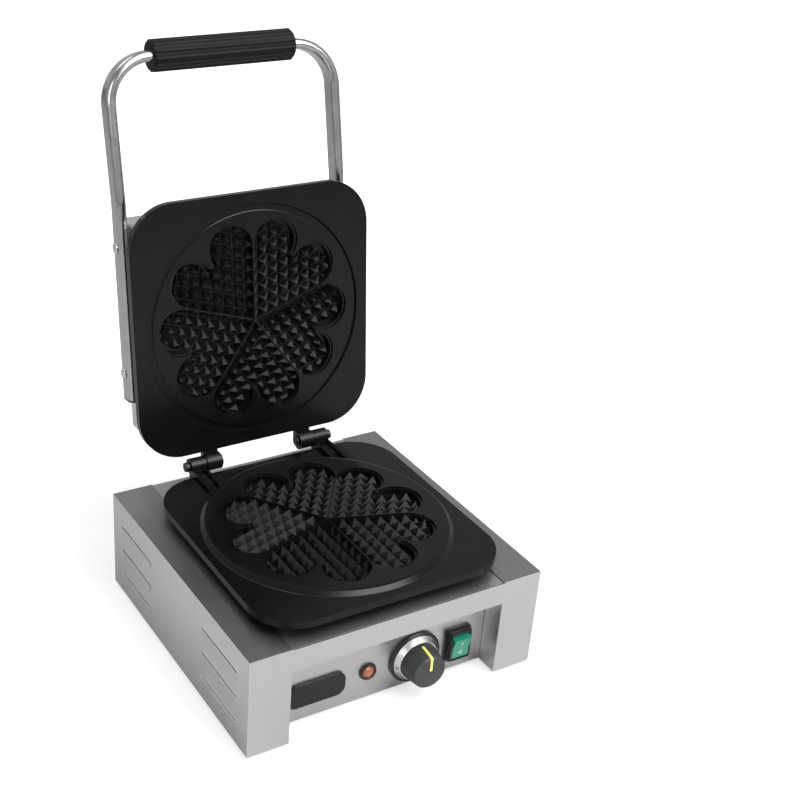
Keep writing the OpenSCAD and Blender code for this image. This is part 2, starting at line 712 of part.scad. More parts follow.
// The square flange of a plate, below z = 0
module plate_flange() translate([0, 0, -flange_t]) linear_extrude(flange_t)
    rounded(plate_side, plate_side, plate_r);

// A knuckle with its arm from the plate: from y0 to the hinge, x0 to x1, and z0 to z1
module knuckle(r, x0, x1, y0, z0, z1, bore) difference() {
    union() {
        rod_x(hinge_y, hinge_z, r, x0, x1);
        box([x0, y0, z0], [x1, hinge_y, z1]);
    }
    rod_x(hinge_y, hinge_z, bore, x0 - 1, x1 + 1);
}

outer_x0 = knuckle_x + knuckle_gap / 2;
outer_x1 = outer_x0 + knuckle_w;
inner_x1 = knuckle_x - knuckle_gap / 2;
inner_x0 = inner_x1 - knuckle_w;
arm_y = plate_y + 90;                       // where the hinge arms start on the castings

module lower_plate() color("#2c2c2c") difference() {
    union() {
        translate([0, plate_y, flange_z]) {
            difference() {
                union() {
                    plate_flange();
                    translate([0, 0, -flange_t - body_t]) cylinder(r = body_r, h = body_t + e, $fn = 128);
                    rotate_extrude($fn = 128) polygon([[0, -e], [deck_foot_r, -e], [deck_foot_r - 0.4, 0.8],
                        [deck_r + 3.6, deck_h - 0.8], [deck_r, deck_h], [0, deck_h]]);
                }
                translate([0, 0, deck_h]) flower_cut();
                translate([0, 0, -flange_t - body_t]) element_channel();
            }
            translate([0, 0, deck_h]) pyramid_fields();
            // stud for the clamp disc
            translate([0, 0, -flange_t - body_t - stud_l]) cylinder(r = stud_r, h = stud_l + e);
        }
        both() {
            knuckle(outer_r, outer_x0, outer_x1, arm_y + 18, flange_z - flange_t, hinge_z - 4, pin_r + touch);
            // two ribs on each arm
            for (x = [outer_x0, outer_x1 - 3])
                box([x, arm_y + 6, flange_z - e], [x + 3, hinge_y - 4, hinge_z - 1.6]);
        }
    }
    both() rod_x(hinge_y, hinge_z, pin_r + touch, outer_x0 - 1, outer_x1 + 1);
    for (p = spacer_at) translate([p[0], p[1], flange_z - flange_t - e])
        cylinder(r = m6[0] + bore_fit, h = bolt_in + 1);
}

stud_r = 3;
stud_l = clamp_t + wool_t + 9;

module lower_element() color("#8d8a86") translate([0, plate_y, flange_z - flange_t - body_t])
    element(-wool_t - clamp_t - element_tube - lower_leg);

// A tubular element: a loop on z = 0 and two legs down to z = leg_end
module element(leg_end) {
    start = element_open / 2 - 90;
    rotate([0, 0, start]) rotate_extrude(angle = 360 - element_open, $fn = 96)
        translate([element_r, 0]) circle(element_tube);
    for (s = [-1, 1]) rotate([0, 0, -90 + s * element_open / 2]) translate([element_r, 0, leg_end]) {
        cylinder(r = leg_r, h = leg_top - leg_end);
        translate([0, 0, -8]) cylinder(r = 1.5, h = 8 + e);
    }
}
leg_r = element_tube + 0.3;                 // radius of the element's legs
leg_top = element_tube + 0.5;               // how far a leg reaches above the loop's middle
lower_leg = 12;                             // how far the lower element's legs pass the wool
upper_leg = 6;                              // how far the upper element's legs pass the wool
bolt_in = 4;                                // how far a plate bolt reaches into the casting

// A round layer with holes for the stud and for the element's legs
module layer(r, t) difference() {
    cylinder(r = r, h = t, $fn = 96);
    translate([0, 0, -1]) cylinder(r = stud_r + bore_fit, h = t + 2);
    for (s = [-1, 1]) rotate([0, 0, -90 + s * element_open / 2]) translate([element_r, 0, -1])
        cylinder(r = leg_r + 0.4, h = t + 2);
}

// Heights below the lower casting's back, and above the upper casting's back
clamp_at = element_tube + 0.1;
wool_at = clamp_at + clamp_t + 0.1;
nut_at = wool_at + wool_t + 0.1;
cast_z = flange_z - flange_t - body_t;      // back of the lower casting
pan_r = opening_r - 0.4;
pan_t = 0.8;

module lower_clamp_disc() color("#8f8f8d") translate([0, plate_y, cast_z - clamp_at - clamp_t]) difference() {
    layer(element_r + 10, clamp_t);
    // room for the thermostat's bulb
    translate([dial_x - bulb_room / 2, bulb_y - plate_y - bulb_half - 4, -1])
        cube([bulb_room, 2 * bulb_half + 8, 10]);
}

module lower_insulation() color("#e8e4da") translate([0, plate_y, cast_z - wool_at - wool_t]) difference() {
    layer(pan_r - pan_t - 0.4, wool_t);
    translate([dial_x - bulb_room / 2, -pan_r, wool_t - 7.5])
        cube([bulb_room, bulb_y - plate_y + bulb_half + 6 + pan_r, 10]);
}

module heat_pan() color("#a9aaac") translate([0, plate_y, 0]) difference() {
    z0 = cast_z - nut_at - pan_t;
    union() {
        translate([0, 0, z0]) cylinder(r = pan_r, h = deck_z - gauge - z0, $fn = 96);
        translate([0, 0, deck_z - gauge - pan_t]) cylinder(r = pan_r + 5, h = pan_t, $fn = 96);
    }
    translate([0, 0, z0 + pan_t]) cylinder(r = pan_r - pan_t, h = deck_z, $fn = 96);
    translate([0, 0, z0 - 1]) layer_holes(4);
    translate([dial_x, -pan_r - 10, bulb_z]) rotate([-90, 0, 0]) cylinder(r = 2, h = 20);
}

// The holes of a layer, as solids
module layer_holes(t) {
    cylinder(r = stud_r + bore_fit, h = t);
    for (s = [-1, 1]) rotate([0, 0, -90 + s * element_open / 2]) translate([element_r, 0, 0])
        cylinder(r = leg_r + 0.4, h = t);
}

module clamp_nut() difference() {
    cylinder(r = 6, h = 5, $fn = 6);
    translate([0, 0, -1]) cylinder(r = stud_r + touch, h = 7);
}

module lower_clamp_nut() color("#b5b5b3") translate([0, plate_y, cast_z - nut_at - pan_t - 5.1]) clamp_nut();

module plate_spacers() color("#9b9b99") for (p = spacer_at) translate([p[0], p[1], deck_z]) difference() {
    cylinder(r = spacer_r, h = flange_z - flange_t - deck_z);
    translate([0, 0, -1]) cylinder(r = m6[0] + bore_fit, h = flange_z);
}

bolt_l = flange_z - flange_t - deck_z + gauge + bolt_in;
module plate_bolts() color("#b5b5b3") for (p = spacer_at) translate([p[0], p[1], deck_z - gauge])
    mirror([0, 0, 1]) {
        cylinder(r = m6[1], h = m6[2], $fn = 6);
        translate([0, 0, -bolt_l]) cylinder(r = m6[0], h = bolt_l + e);
    }

// Nuts on the control panel's studs, behind the flanges
module panel_nuts() color("#c4c4c2") for (p = panel_stud_at) translate([p[0], panel_y + 2 * gauge, p[1]])
    rotate([-90, 0, 0]) difference() {
        cylinder(r = nut_r, h = nut_h, $fn = 6);
        translate([0, 0, -1]) cylinder(r = m4[0] + touch, h = nut_h + 2);
    }

module back_screws() color("#c4c4c2") for (p = back_screw_at) translate([p[0], half_d - gauge, p[1]])
    rotate([-90, 0, 0]) screw(m4, 2 * gauge + 5);

// Screws that hold the bottom plate, and longer ones that hold the feet
module bottom_screws() color("#c4c4c2") {
    for (p = bottom_screw_at) translate([p[0], p[1], shell_z]) mirror([0, 0, 1]) screw(m4, 2 * gauge + 4);
    for (p = foot_at) translate([p[0], p[1], floor_z + gauge]) screw(m4, floor_z + gauge - 1.2);
}

pin_x0 = inner_x0 - 3;
pin_x1 = outer_x1 + 5;
pin_head_r = pin_r + 0.8;
clip_r = 6;

module hinge_pins() color("#6e6e6c") both() {
    difference() {
        rod_x(hinge_y, hinge_z, pin_r, pin_x0, pin_x1 - 4);
        translate([pin_x0 + 0.8, hinge_y, hinge_z]) rotate([0, 90, 0]) difference() {
            cylinder(r = pin_r + 1, h = 1);
            cylinder(r = pin_r - 0.8, h = 1);
        }
    }
    rod_x(hinge_y, hinge_z, pin_head_r, outer_x1 + 0.1, pin_x1);
}

module hinge_clips() color("#858583") both() translate([pin_x0 + 0.9, hinge_y, hinge_z]) rotate([0, 90, 0])
    difference() {
        cylinder(r = clip_r, h = 0.8);
        translate([0, 0, -1]) cylinder(r = pin_r - 0.7, h = 3);
        translate([0, -pin_r + 1.2, -1]) cube([clip_r + 1, 2 * pin_r - 2.4, 3]);
    }

// ---- lid, drawn closed and turned open by on_lid ----

module upper_plate() color("#2a2a2a") on_lid() difference() {
    union() {
        translate([0, plate_y, face_z]) mirror([0, 0, 1]) {
            difference() {
                union() {
                    plate_flange();
                    translate([0, 0, -flange_t - body_t]) cylinder(r = body_r, h = body_t + e, $fn = 128);
                }
                flower_cut();
                batter_groove();
                translate([0, 0, -flange_t - body_t]) element_channel();
            }
            pyramid_fields();
            translate([0, 0, -flange_t - body_t - stud_l]) cylinder(r = stud_r, h = stud_l + e);
        }
        both() {
            knuckle(knuckle_r, inner_x0, inner_x1, arm_y + 18, face_z + 3, hinge_z + knuckle_r,
                pin_r + pin_fit);
            box([inner_x0 + 5.5, arm_y + 26, face_z + flange_t - e],
                [inner_x1 - 5.5, hinge_y - 8, face_z + flange_t + 5]);
        }
    }
    both() rod_x(hinge_y, hinge_z, pin_r + pin_fit, inner_x0 - 1, inner_x1 + 1);
}

module upper_element() color("#8d8a86") on_lid() translate([0, plate_y, lid_back]) mirror([0, 0, 1])
    element(-wool_t - clamp_t - element_tube - upper_leg);

module upper_clamp_disc() color("#8f8f8d") on_lid() translate([0, plate_y, lid_back + clamp_at])
    layer(element_r + 10, clamp_t);

module upper_insulation() color("#e8e4da") on_lid() translate([0, plate_y, lid_back + wool_at])
    layer(pan_r - pan_t - 0.4, wool_t);

module upper_clamp_nut() color("#b5b5b3") on_lid() translate([0, plate_y, lid_back + nut_at]) clamp_nut();

cover_y = plate_y + (cover_back - cover_front) / 2;
cover_d = cover_back + cover_front;
cover_top = lid_back + cover_h;
cover_screw_at = [for (x = [-1, 1], y = [-1, 1]) [x * (cover_x - 14), cover_y + y * (cover_d / 2 - 14)]];

module lid_cover() color("#c9cacc") on_lid() difference() {
    translate([0, cover_y, lid_back]) linear_extrude(cover_h) rounded(cover_w, cover_d, cover_r);
    translate([0, cover_y, lid_back - 1]) linear_extrude(cover_h + 1 - gauge)
        rounded(cover_w - 2 * gauge, cover_d - 2 * gauge, cover_r - gauge);
    both() for (y = [plate_y - bolt_front, plate_y + bolt_back])
        rod_x(y, tube_z, m6[0] + bore_fit, cover_x - 5, cover_x + 5);
    for (p = cover_screw_at) translate([p[0], p[1], lid_back])
        cylinder(r = m4[0] + bore_fit, h = 2 * cover_h);
    rod_y(lead_x, lid_back + 28, lead_neck_r + bore_fit, cover_y + cover_d / 2 - 4,
        cover_y + cover_d / 2 + 4);
    // vent slots in the wall by the hinge
    for (x = [-5 : 1]) translate([x * 14 - 2, cover_y + cover_d / 2 - 4, lid_back + 18]) cube([4, 8, 16]);
}

// Posts on the casting that the cover's screws reach into
module cover_posts() color("#9b9b99") on_lid() for (p = cover_screw_at) {
    z0 = face_z + flange_t;
    translate([p[0], p[1], z0]) difference() {
        cylinder(r = 6, h = cover_top - gauge - z0);
        translate([0, 0, cover_top - gauge - z0 - 14]) cylinder(r = m4[0] + touch, h = 15);
    }
}

// Screws that reach down through the cover into its posts
module cover_screws() color("#c4c4c2") on_lid() for (p = cover_screw_at)
    translate([p[0], p[1], cover_top]) screw(m4, 12);

// Bushes for the lead that crosses from the base to the lid
lead_bore_r = 4.2;                          // radius of the way through a bush
module lead_bush() difference() {
    union() {
        translate([0, 0, -6]) cylinder(r = lead_neck_r, h = 6 + e);
        cylinder(r1 = 9.5, r2 = 7.5, h = 6);
        translate([0, 0, -6]) cylinder(r = 9, h = 6 - gauge - touch);
    }
    translate([0, 0, -7]) cylinder(r = lead_bore_r, h = 20);
}

module base_lead_bush() color("#3b3b3d") translate([lead_x, back_y + gauge, lead_z])
    rotate([-90, 0, 0]) lead_bush();

module lid_lead_bush() color("#3b3b3d") on_lid()
    translate([lead_x, cover_y + cover_d / 2, lid_back + 28]) rotate([-90, 0, 0]) lead_bush();

// Handle: from a lower end on each side, up past a slight bend, round two corners and across
cross_l = 2 * tube_x - 2 * bend_r;          // length of the straight cross piece
kink_r = 30;                                // radius of the slight bend
upper_l = grip_at - kink_at - bend_r;

// Places the upper part of the handle, drawn flat towards -Y from the bend
module on_upper_handle() translate([0, plate_y - kink_at, tube_z + kink_r]) rotate([-kink_angle, 0, 0])
    translate([0, 0, -kink_r]) children();

// The tube's section, thickness along X
module tube_section() difference() {
    oval(tube_t, tube_w);
    oval(tube_t - 2 * tube_wall, tube_w - 2 * tube_wall);
}

// A straight run of tube, from the origin towards -Y
module tube_run(l) rotate([90, 0, 0]) linear_extrude(l) tube_section();

module handle_side() {
    translate([tube_x, plate_y + handle_end, tube_z]) tube_run(handle_end + kink_at);
    translate([tube_x, plate_y - kink_at, tube_z + kink_r]) rotate([180, 90, 0])
        rotate_extrude(angle = kink_angle) translate([kink_r, 0]) rotate(90) tube_section();
    on_upper_handle() {
        translate([tube_x, 0, 0]) tube_run(upper_l);
        translate([tube_x - bend_r, -upper_l, 0]) rotate([0, 0, -90])
            rotate_extrude(angle = 90) translate([bend_r, 0]) tube_section();
    }
}

module handle_tube() color("#d5d6d8") on_lid() difference() {
    union() {
        both() handle_side();
        on_upper_handle() translate([-cross_l / 2, -upper_l - bend_r, 0]) rotate([0, 0, 90])
            tube_run(cross_l);
    }
    both() for (y = [plate_y - bolt_front, plate_y + bolt_back])
        rod_x(y, tube_z, m6[0] + bore_fit, cover_x, cover_x + 30);
}

// Plugs in the tube's lower ends
plug_out = 2;                               // thickness of a plug's cap
module handle_plugs() color("#1f1f20") on_lid() both() translate([tube_x, plate_y + handle_end, tube_z])
    rotate([90, 0, 0]) {
        translate([0, 0, -plug_out]) linear_extrude(plug_out) oval(tube_t, tube_w);
        linear_extrude(4 * plug_out)
            oval(tube_t - 2 * tube_wall - 2 * touch, tube_w - 2 * tube_wall - 2 * touch);
    }

washer_r = 7;
grip_l = cross_l + 2;
module handle_grip() color("#1f1f20") on_lid() on_upper_handle()
    translate([0, -upper_l - bend_r, 0]) rotate([0, 90, 0]) difference() {
        linear_extrude(grip_l - 6, center = true) union() {
            circle(grip_r);
            for (i = [0 : rib_n - 1]) rotate(i * 360 / rib_n) translate([grip_r, 0]) circle(rib_r, $fn = 24);
        }
        linear_extrude(grip_l, center = true) rotate(90) oval(tube_t + 2 * touch, tube_w + 2 * touch);
    }

module at_handle_bolts() both() for (y = [plate_y - bolt_front, plate_y + bolt_back])
    translate([0, y, tube_z]) rotate([0, 90, 0]) children();

module handle_washers() color("#b5b5b3") on_lid() at_handle_bolts() translate([0, 0, cover_x]) difference() {
    cylinder(r = washer_r, h = washer_t);
    translate([0, 0, -1]) cylinder(r = m6[0] + bore_fit, h = washer_t + 2);
}

module handle_bolts() color("#d0d0ce") on_lid() at_handle_bolts() {
    translate([0, 0, cover_x - gauge - 7]) cylinder(r = m6[0], h = gauge + 7 + washer_t + tube_t + e);
    translate([0, 0, cover_x + washer_t + tube_t]) cylinder(r1 = m6[1], r2 = 3.6, h = 3);
}

bolt_nut = [5.6, 5];                        // radius over the corners and height of a nut
module handle_nuts() color("#b5b5b3") on_lid() at_handle_bolts()
    translate([0, 0, cover_x - gauge - 0.1 - bolt_nut[1]]) difference() {
        cylinder(r = bolt_nut[0], h = bolt_nut[1], $fn = 6);
        translate([0, 0, -1]) cylinder(r = m6[0] + touch, h = bolt_nut[1] + 2);
    }

// Middle of the machine, front to back, from the knob's face to the back of the open lid's grip
grip_out = upper_l + bend_r;
grip_y = -kink_at - grip_out * cos(kink_angle) - kink_r * sin(kink_angle) + plate_y - hinge_y;
grip_z = tube_up + kink_r + grip_out * sin(kink_angle) - kink_r * cos(kink_angle) + face_z - hinge_z;
grip_back = hinge_y + grip_y * cos(open_angle) + grip_z * sin(open_angle) + grip_r + rib_r;
middle_y = (knob_y - knob_l - 0.5 + grip_back) / 2;

translate([0, -middle_y, 0]) {
    housing();
    top_plate();
    control_panel();
    back_panel();
    bottom_plate();
    rubber_feet();
    name_plate();
    lamp_bezel();
    lamp_lens();
    dial_rim();
    dial_ring();
    thermostat_body();
    thermostat_bulb();
    safety_cutout();
    terminal_block();
    earth_stud();
    cable_gland();
    switch_frame();
    switch_body();
    lower_plate();
    lower_element();
    lower_clamp_disc();
    lower_insulation();
    heat_pan();
    lower_clamp_nut();
    plate_spacers();
    plate_bolts();
    panel_nuts();
    back_screws();
    bottom_screws();
    hinge_pins();
    hinge_clips();
    upper_plate();
    upper_element();
    upper_clamp_disc();
    upper_insulation();
    upper_clamp_nut();
    lid_cover();
    cover_posts();
    cover_screws();
    base_lead_bush();
    lid_lead_bush();
    handle_tube();
    handle_plugs();
    handle_grip();
    handle_washers();
    handle_bolts();
    handle_nuts();
    knob();
    pointer_mark();
    thermostat_shaft();
    switch_rocker();
}
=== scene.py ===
"""Countertop waffle maker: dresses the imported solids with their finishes, soft edges and small parts."""

import functools
import json
import math

import bmesh
import bpy
from bpy.props import FloatProperty, FloatVectorProperty, IntProperty, PointerProperty
from mathutils import Matrix, Vector


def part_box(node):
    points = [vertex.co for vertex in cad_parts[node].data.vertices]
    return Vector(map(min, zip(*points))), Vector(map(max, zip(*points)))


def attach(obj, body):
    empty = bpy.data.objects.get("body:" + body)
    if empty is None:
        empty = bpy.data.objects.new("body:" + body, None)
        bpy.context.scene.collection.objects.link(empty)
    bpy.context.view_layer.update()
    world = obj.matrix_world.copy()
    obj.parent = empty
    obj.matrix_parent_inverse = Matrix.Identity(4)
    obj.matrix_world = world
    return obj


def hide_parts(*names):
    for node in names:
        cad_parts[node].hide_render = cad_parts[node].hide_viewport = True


bl_info = {
    "name": "Waffle Maker",
    "version": (1, 0, 0),
    "blender": (4, 5, 0),
    "location": "3D View > Sidebar > Waffle Maker",
    "description": "Dresses a countertop waffle maker with its steel, castings, handle and controls",
    "category": "Object",
}

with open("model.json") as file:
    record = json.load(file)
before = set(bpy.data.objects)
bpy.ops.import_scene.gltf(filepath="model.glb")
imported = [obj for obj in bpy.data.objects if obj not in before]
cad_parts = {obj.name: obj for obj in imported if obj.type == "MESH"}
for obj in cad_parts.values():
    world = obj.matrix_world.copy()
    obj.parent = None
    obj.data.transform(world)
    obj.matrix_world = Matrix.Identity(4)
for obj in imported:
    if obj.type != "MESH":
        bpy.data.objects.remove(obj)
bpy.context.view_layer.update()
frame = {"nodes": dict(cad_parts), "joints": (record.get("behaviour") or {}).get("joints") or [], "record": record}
NODES = frame["nodes"]
HINGE = Vector(next(j["pos_m"] for j in frame["joints"] if j["name"] == "lid_hinge"))
REST_ANGLE = math.radians(96.52)  # how far the lid stands open at rest
# the drawing's zero, front to back, in the frame: the middle of the housing
BASE_Y = sum(c.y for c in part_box("housing")) / 2


# ---- places ----


def at(x, y, z):
    """A place drawn in millimetres about the middle of the base, in the frame."""
    return Vector((x / 1000, y / 1000 + BASE_Y, z / 1000))


LID_TURN = Matrix.Translation(HINGE) @ Matrix.Rotation(-REST_ANGLE, 4, "X") @ Matrix.Translation(-HINGE)
LID_SPIN = LID_TURN.to_3x3()
LID_OUT = (LID_SPIN @ Vector((0, 0, 1))).normalized()  # straight out of the lid's cover


def on_lid(x, y, z):
    """A place drawn in millimetres on the closed lid, turned to the open rest position."""
    return LID_TURN @ at(x, y, z)


def middle(node):
    """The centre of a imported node's box."""
    low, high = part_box(node)
    return (low + high) / 2


# ---- settings ----


class WaffleSteel(bpy.types.PropertyGroup):
    """Sheet steel of the base and of the lid's cover"""

    colour: FloatVectorProperty(
        name="Steel", description="Colour of the brushed sheet", subtype="COLOR", size=3, min=0, max=1,
        default=(0.60, 0.60, 0.61))
    # painted reflection: the side strips' steel is painted darker, standing in for the dark lid and room that
    # their tops mirror
    strip_colour: FloatVectorProperty(
        name="Side strips", description="Colour of the strips beside the deck", subtype="COLOR", size=3,
        min=0, max=1, default=(0.33, 0.332, 0.338))
    deck_colour: FloatVectorProperty(
        name="Deck", description="Colour of the deck between the strips", subtype="COLOR", size=3,
        min=0, max=1, default=(0.50, 0.50, 0.505))
    edge: FloatProperty(
        name="Fold radius", description="Rounding of the sheet's folds", default=0.0009, min=0.0001, max=0.003,
        unit="LENGTH", precision=5)


class WafflePlates(bpy.types.PropertyGroup):
    """The two cast plates"""

    colour: FloatVectorProperty(
        name="Coating", description="Colour of the non-stick coating", subtype="COLOR", size=3, min=0, max=1,
        default=(0.0038, 0.0037, 0.0035))
    worn_colour: FloatVectorProperty(
        name="Worn coating", description="Colour of the coating where it is rubbed", subtype="COLOR", size=3,
        min=0, max=1, default=(0.028, 0.027, 0.025))
    edge: FloatProperty(
        name="Cast edge", description="Rounding of the casting's edges", default=0.0005, min=0.0001, max=0.002,
        unit="LENGTH", precision=5)


class WaffleHandle(bpy.types.PropertyGroup):
    """The lid's handle"""

    tube_thickness: FloatProperty(
        name="Tube thickness", description="Thickness of the flat-oval tube", default=0.010, min=0.006,
        max=0.014, unit="LENGTH", precision=4)
    tube_width: FloatProperty(
        name="Tube width", description="Width of the flat-oval tube", default=0.020, min=0.012, max=0.026,
        unit="LENGTH", precision=4)
    ribs: IntProperty(name="Ribs", description="Ribs round the grip", default=12, min=8, max=20)
    grip_colour: FloatVectorProperty(
        name="Grip", description="Colour of the grip", subtype="COLOR", size=3, min=0, max=1,
        default=(0.006, 0.006, 0.0063))


class WaffleControls(bpy.types.PropertyGroup):
    """Dial, lamp and switch"""

    knob_colour: FloatVectorProperty(
        name="Knob", description="Colour of the knob", subtype="COLOR", size=3, min=0, max=1,
        default=(0.030, 0.031, 0.033))
    pointer_colour: FloatVectorProperty(
        name="Pointer", description="Colour of the knob's line", subtype="COLOR", size=3, min=0, max=1,
        default=(0.66, 0.70, 0.13))
    rocker_colour: FloatVectorProperty(
        name="Rocker", description="Colour of the switch rocker", subtype="COLOR", size=3, min=0, max=1,
        default=(0.006, 0.27, 0.155))
    lamp_colour: FloatVectorProperty(
        name="Lamp", description="Colour of the lamp's lens", subtype="COLOR", size=3, min=0, max=1,
        default=(0.55, 0.17, 0.05))


class WaffleStage(bpy.types.PropertyGroup):
    """Floor, light and camera"""

    floor_colour: FloatVectorProperty(
        name="Floor", description="Colour of the floor", subtype="COLOR", size=3, min=0, max=1,
        default=(0.86, 0.86, 0.86))
    floor_glow: FloatProperty(
        name="Floor whiteness", description="White that the floor keeps in the object's shadow", default=0.62,
        min=0, max=1, subtype="FACTOR")
    floor_mirrored: FloatProperty(
        name="Mirrored floor", description="Share of the floor's white that metal reflects", default=0.62,
        min=0, max=1, subtype="FACTOR")
    focal: FloatProperty(
        name="Focal length", description="Camera lens in millimetres", default=62.42, min=20, max=120)


SETTINGS = {
    "waffle_steel": WaffleSteel,
    "waffle_plates": WafflePlates,
    "waffle_handle": WaffleHandle,
    "waffle_controls": WaffleControls,
    "waffle_stage": WaffleStage,
}


# ---- nodes ----

FLOAT, INT, VECTOR, OBJECT = ("NodeSocket" + kind for kind in ("Float", "Int", "Vector", "Object"))


def fill(tree, node, values):
    """Gives each named input a link where its value is a socket, and else the value itself."""
    for entry, value in values.items():
        if isinstance(value, bpy.types.NodeSocket):
            tree.links.new(value, node.inputs[entry])
        else:
            node.inputs[entry].default_value = value
    return node


def add(tree, kind, values=None, **settings):
    """A new node of this kind, with its settings and then its inputs."""
    node = tree.nodes.new(kind)
    for name, value in settings.items():
        setattr(node, name, value)
    return fill(tree, node, values or {})


def maths(tree, operation, a, b, clamp=False):
    """The result of an operation on two sockets or numbers."""
    return add(tree, "ShaderNodeMath", {0: a, 1: b}, operation=operation, use_clamp=clamp).outputs[0]


def weighed(tree, a, share, b):
    """This share of a, and b for the rest."""
    return maths(tree, "ADD", maths(tree, "MULTIPLY", a, share), maths(tree, "MULTIPLY", b, 1 - share))


def noise(tree, vector, scale, detail=2.0, roughness=0.5):
    """A cloudy value that changes from place to place."""
    values = {"Vector": vector, "Scale": scale, "Detail": detail, "Roughness": roughness}
    return add(tree, "ShaderNodeTexNoise", values).outputs["Fac"]


def spread(tree, value, low, high, to_low=0.0, to_high=1.0):
    """A value's range from low to high, laid over another range and cut off at its ends."""
    values = {"Value": value, "From Min": low, "From Max": high, "To Min": to_low, "To Max": to_high}
    return add(tree, "ShaderNodeMapRange", values).outputs["Result"]


def mixed(tree, mask, low, high):
    """One colour that turns into another along a mask."""
    low, high = (c if isinstance(c, bpy.types.NodeSocket) else (*c, 1.0) for c in (low, high))
    return add(tree, "ShaderNodeMix", {0: mask, 6: low, 7: high}, data_type="RGBA").outputs[2]


def varied(tree, mask, colour, darker, lighter):
    """A colour that goes from a little darker to a little lighter along a mask."""
    return mixed(tree, mask, tuple(c * darker for c in colour), tuple(min(1, c * lighter) for c in colour))


def bump(tree, height, distance):
    """The normal of a surface with this height on it, over a distance in metres."""
    values = {"Height": height, "Distance": distance, "Strength": 1.0}
    return add(tree, "ShaderNodeBump", values).outputs["Normal"]


def object_place(tree):
    """The place on the piece, in its own coordinates."""
    return tree.nodes.new("ShaderNodeTexCoord").outputs["Object"]


def new_group(name, kind, inputs, outputs):
    """An empty node group, the sockets that bring in its inputs, and the node that takes its outputs."""
    tree = bpy.data.node_groups.new(name, kind)
    for direction, sockets in (("INPUT", inputs), ("OUTPUT", outputs)):
        for label, socket_type, *default in sockets:
            socket = tree.interface.new_socket(label, in_out=direction, socket_type=socket_type)
            if default:
                socket.default_value = default[0]
    return tree, tree.nodes.new("NodeGroupInput").outputs, tree.nodes.new("NodeGroupOutput")


def once(name):
    """Builds a node group the first time, and then finds it again by its name."""
    def decorate(build):
        @functools.wraps(build)
        def find():
            return bpy.data.node_groups.get(name) or build(name)
        return find
    return decorate


# ---- shader groups ----


@once("Brushed Grain")
def brushed_grain(name):
    """Long fine scratches along the first axis of a flat map, and soft cloudy handling marks."""
    tree, source, sink = new_group(
        name, "ShaderNodeTree",
        [("Map", VECTOR), ("Place", VECTOR), ("Fineness", FLOAT, 2600.0), ("Length", FLOAT, 22.0)],
        [("Grain", FLOAT), ("Marks", FLOAT)])
    stretch = add(tree, "ShaderNodeCombineXYZ", {"X": source["Length"], "Y": source["Fineness"]})
    scaled = add(tree, "ShaderNodeVectorMath", {0: source["Map"], 1: stretch.outputs["Vector"]},
                 operation="MULTIPLY").outputs["Vector"]
    grain = weighed(tree, noise(tree, scaled, 1.0, 3.0, 0.65), 0.65, noise(tree, scaled, 0.22, 2.0, 0.5))
    marks = noise(tree, source["Place"], 14.0, 4.0, 0.55)
    fill(tree, sink, {"Grain": spread(tree, grain, 0.3, 0.7), "Marks": spread(tree, marks, 0.35, 0.68)})
    return tree


@once("Fine Texture")
def fine_texture(name):
    """A pebbled skin for moulded or coated parts, and slow variation over the piece."""
    tree, source, sink = new_group(
        name, "ShaderNodeTree", [("Place", VECTOR), ("Pebble", FLOAT, 2200.0), ("Cloud", FLOAT, 30.0)],
        [("Pebbles", FLOAT), ("Clouds", FLOAT)])
    clouds = noise(tree, source["Place"], source["Cloud"], 4.0)
    fill(tree, sink, {"Pebbles": noise(tree, source["Place"], source["Pebble"]),
                      "Clouds": spread(tree, clouds, 0.3, 0.7)})
    return tree


@once("Rubbed Edges")
def rubbed_edges(name):
    """A mask of convex edges, where a coating is rubbed thin."""
    tree, source, sink = new_group(
        name, "ShaderNodeTree", [("Place", VECTOR), ("Start", FLOAT, 0.53), ("Full", FLOAT, 0.62)],
        [("Mask", FLOAT)])
    shape = tree.nodes.new("ShaderNodeNewGeometry")
    convex = spread(tree, shape.outputs["Pointiness"], source["Start"], source["Full"])
    patchy = spread(tree, noise(tree, source["Place"], 160.0, 3.0), 0.3, 0.65, 0.45, 1.0)
    fill(tree, sink, {"Mask": maths(tree, "MULTIPLY", convex, patchy, True)})
    return tree


# ---- materials ----


def finish(build):
    """Builds a material the first time, and then finds it again by its name."""
    @functools.wraps(build)
    def find(name, *values, **settings):
        material = bpy.data.materials.get(name)
        if material is None:
            material = bpy.data.materials.new(name)
            material.use_nodes = True
            tree = material.node_tree
            build(tree, tree.nodes["Principled BSDF"], *values, **settings)
        return material
    return find


def placed(tree, group, **values):
    """The outputs of a shader group that reads the piece's own coordinates."""
    return add(tree, "ShaderNodeGroup", {"Place": object_place(tree), **values}, node_tree=group).outputs


@finish
def brushed_steel(tree, shader, colour, strip_colour=None, rough=(0.30, 0.40)):
    """Brushed sheet: its grain follows the piece's own flat map, so it turns with each fold."""
    flat = add(tree, "ShaderNodeUVMap", uv_map="grain").outputs["UV"]
    grain = placed(tree, brushed_grain(), Map=flat, Fineness=3200.0, Length=26.0)
    base = varied(tree, grain["Grain"], colour, 0.95, 1.04)
    # on the strip faces a darker colour is mixed in: a painted dark reflection
    if strip_colour is not None:
        strip = add(tree, "ShaderNodeAttribute", attribute_name="strip").outputs["Fac"]
        base = mixed(tree, strip, base, varied(tree, grain["Grain"], strip_colour, 0.94, 1.05))
    rub = weighed(tree, grain["Grain"], 0.7, grain["Marks"])
    fill(tree, shader, {"Base Color": base, "Metallic": 1.0, "Roughness": spread(tree, rub, 0, 1, *rough),
                        "Normal": bump(tree, grain["Grain"], 0.000005)})


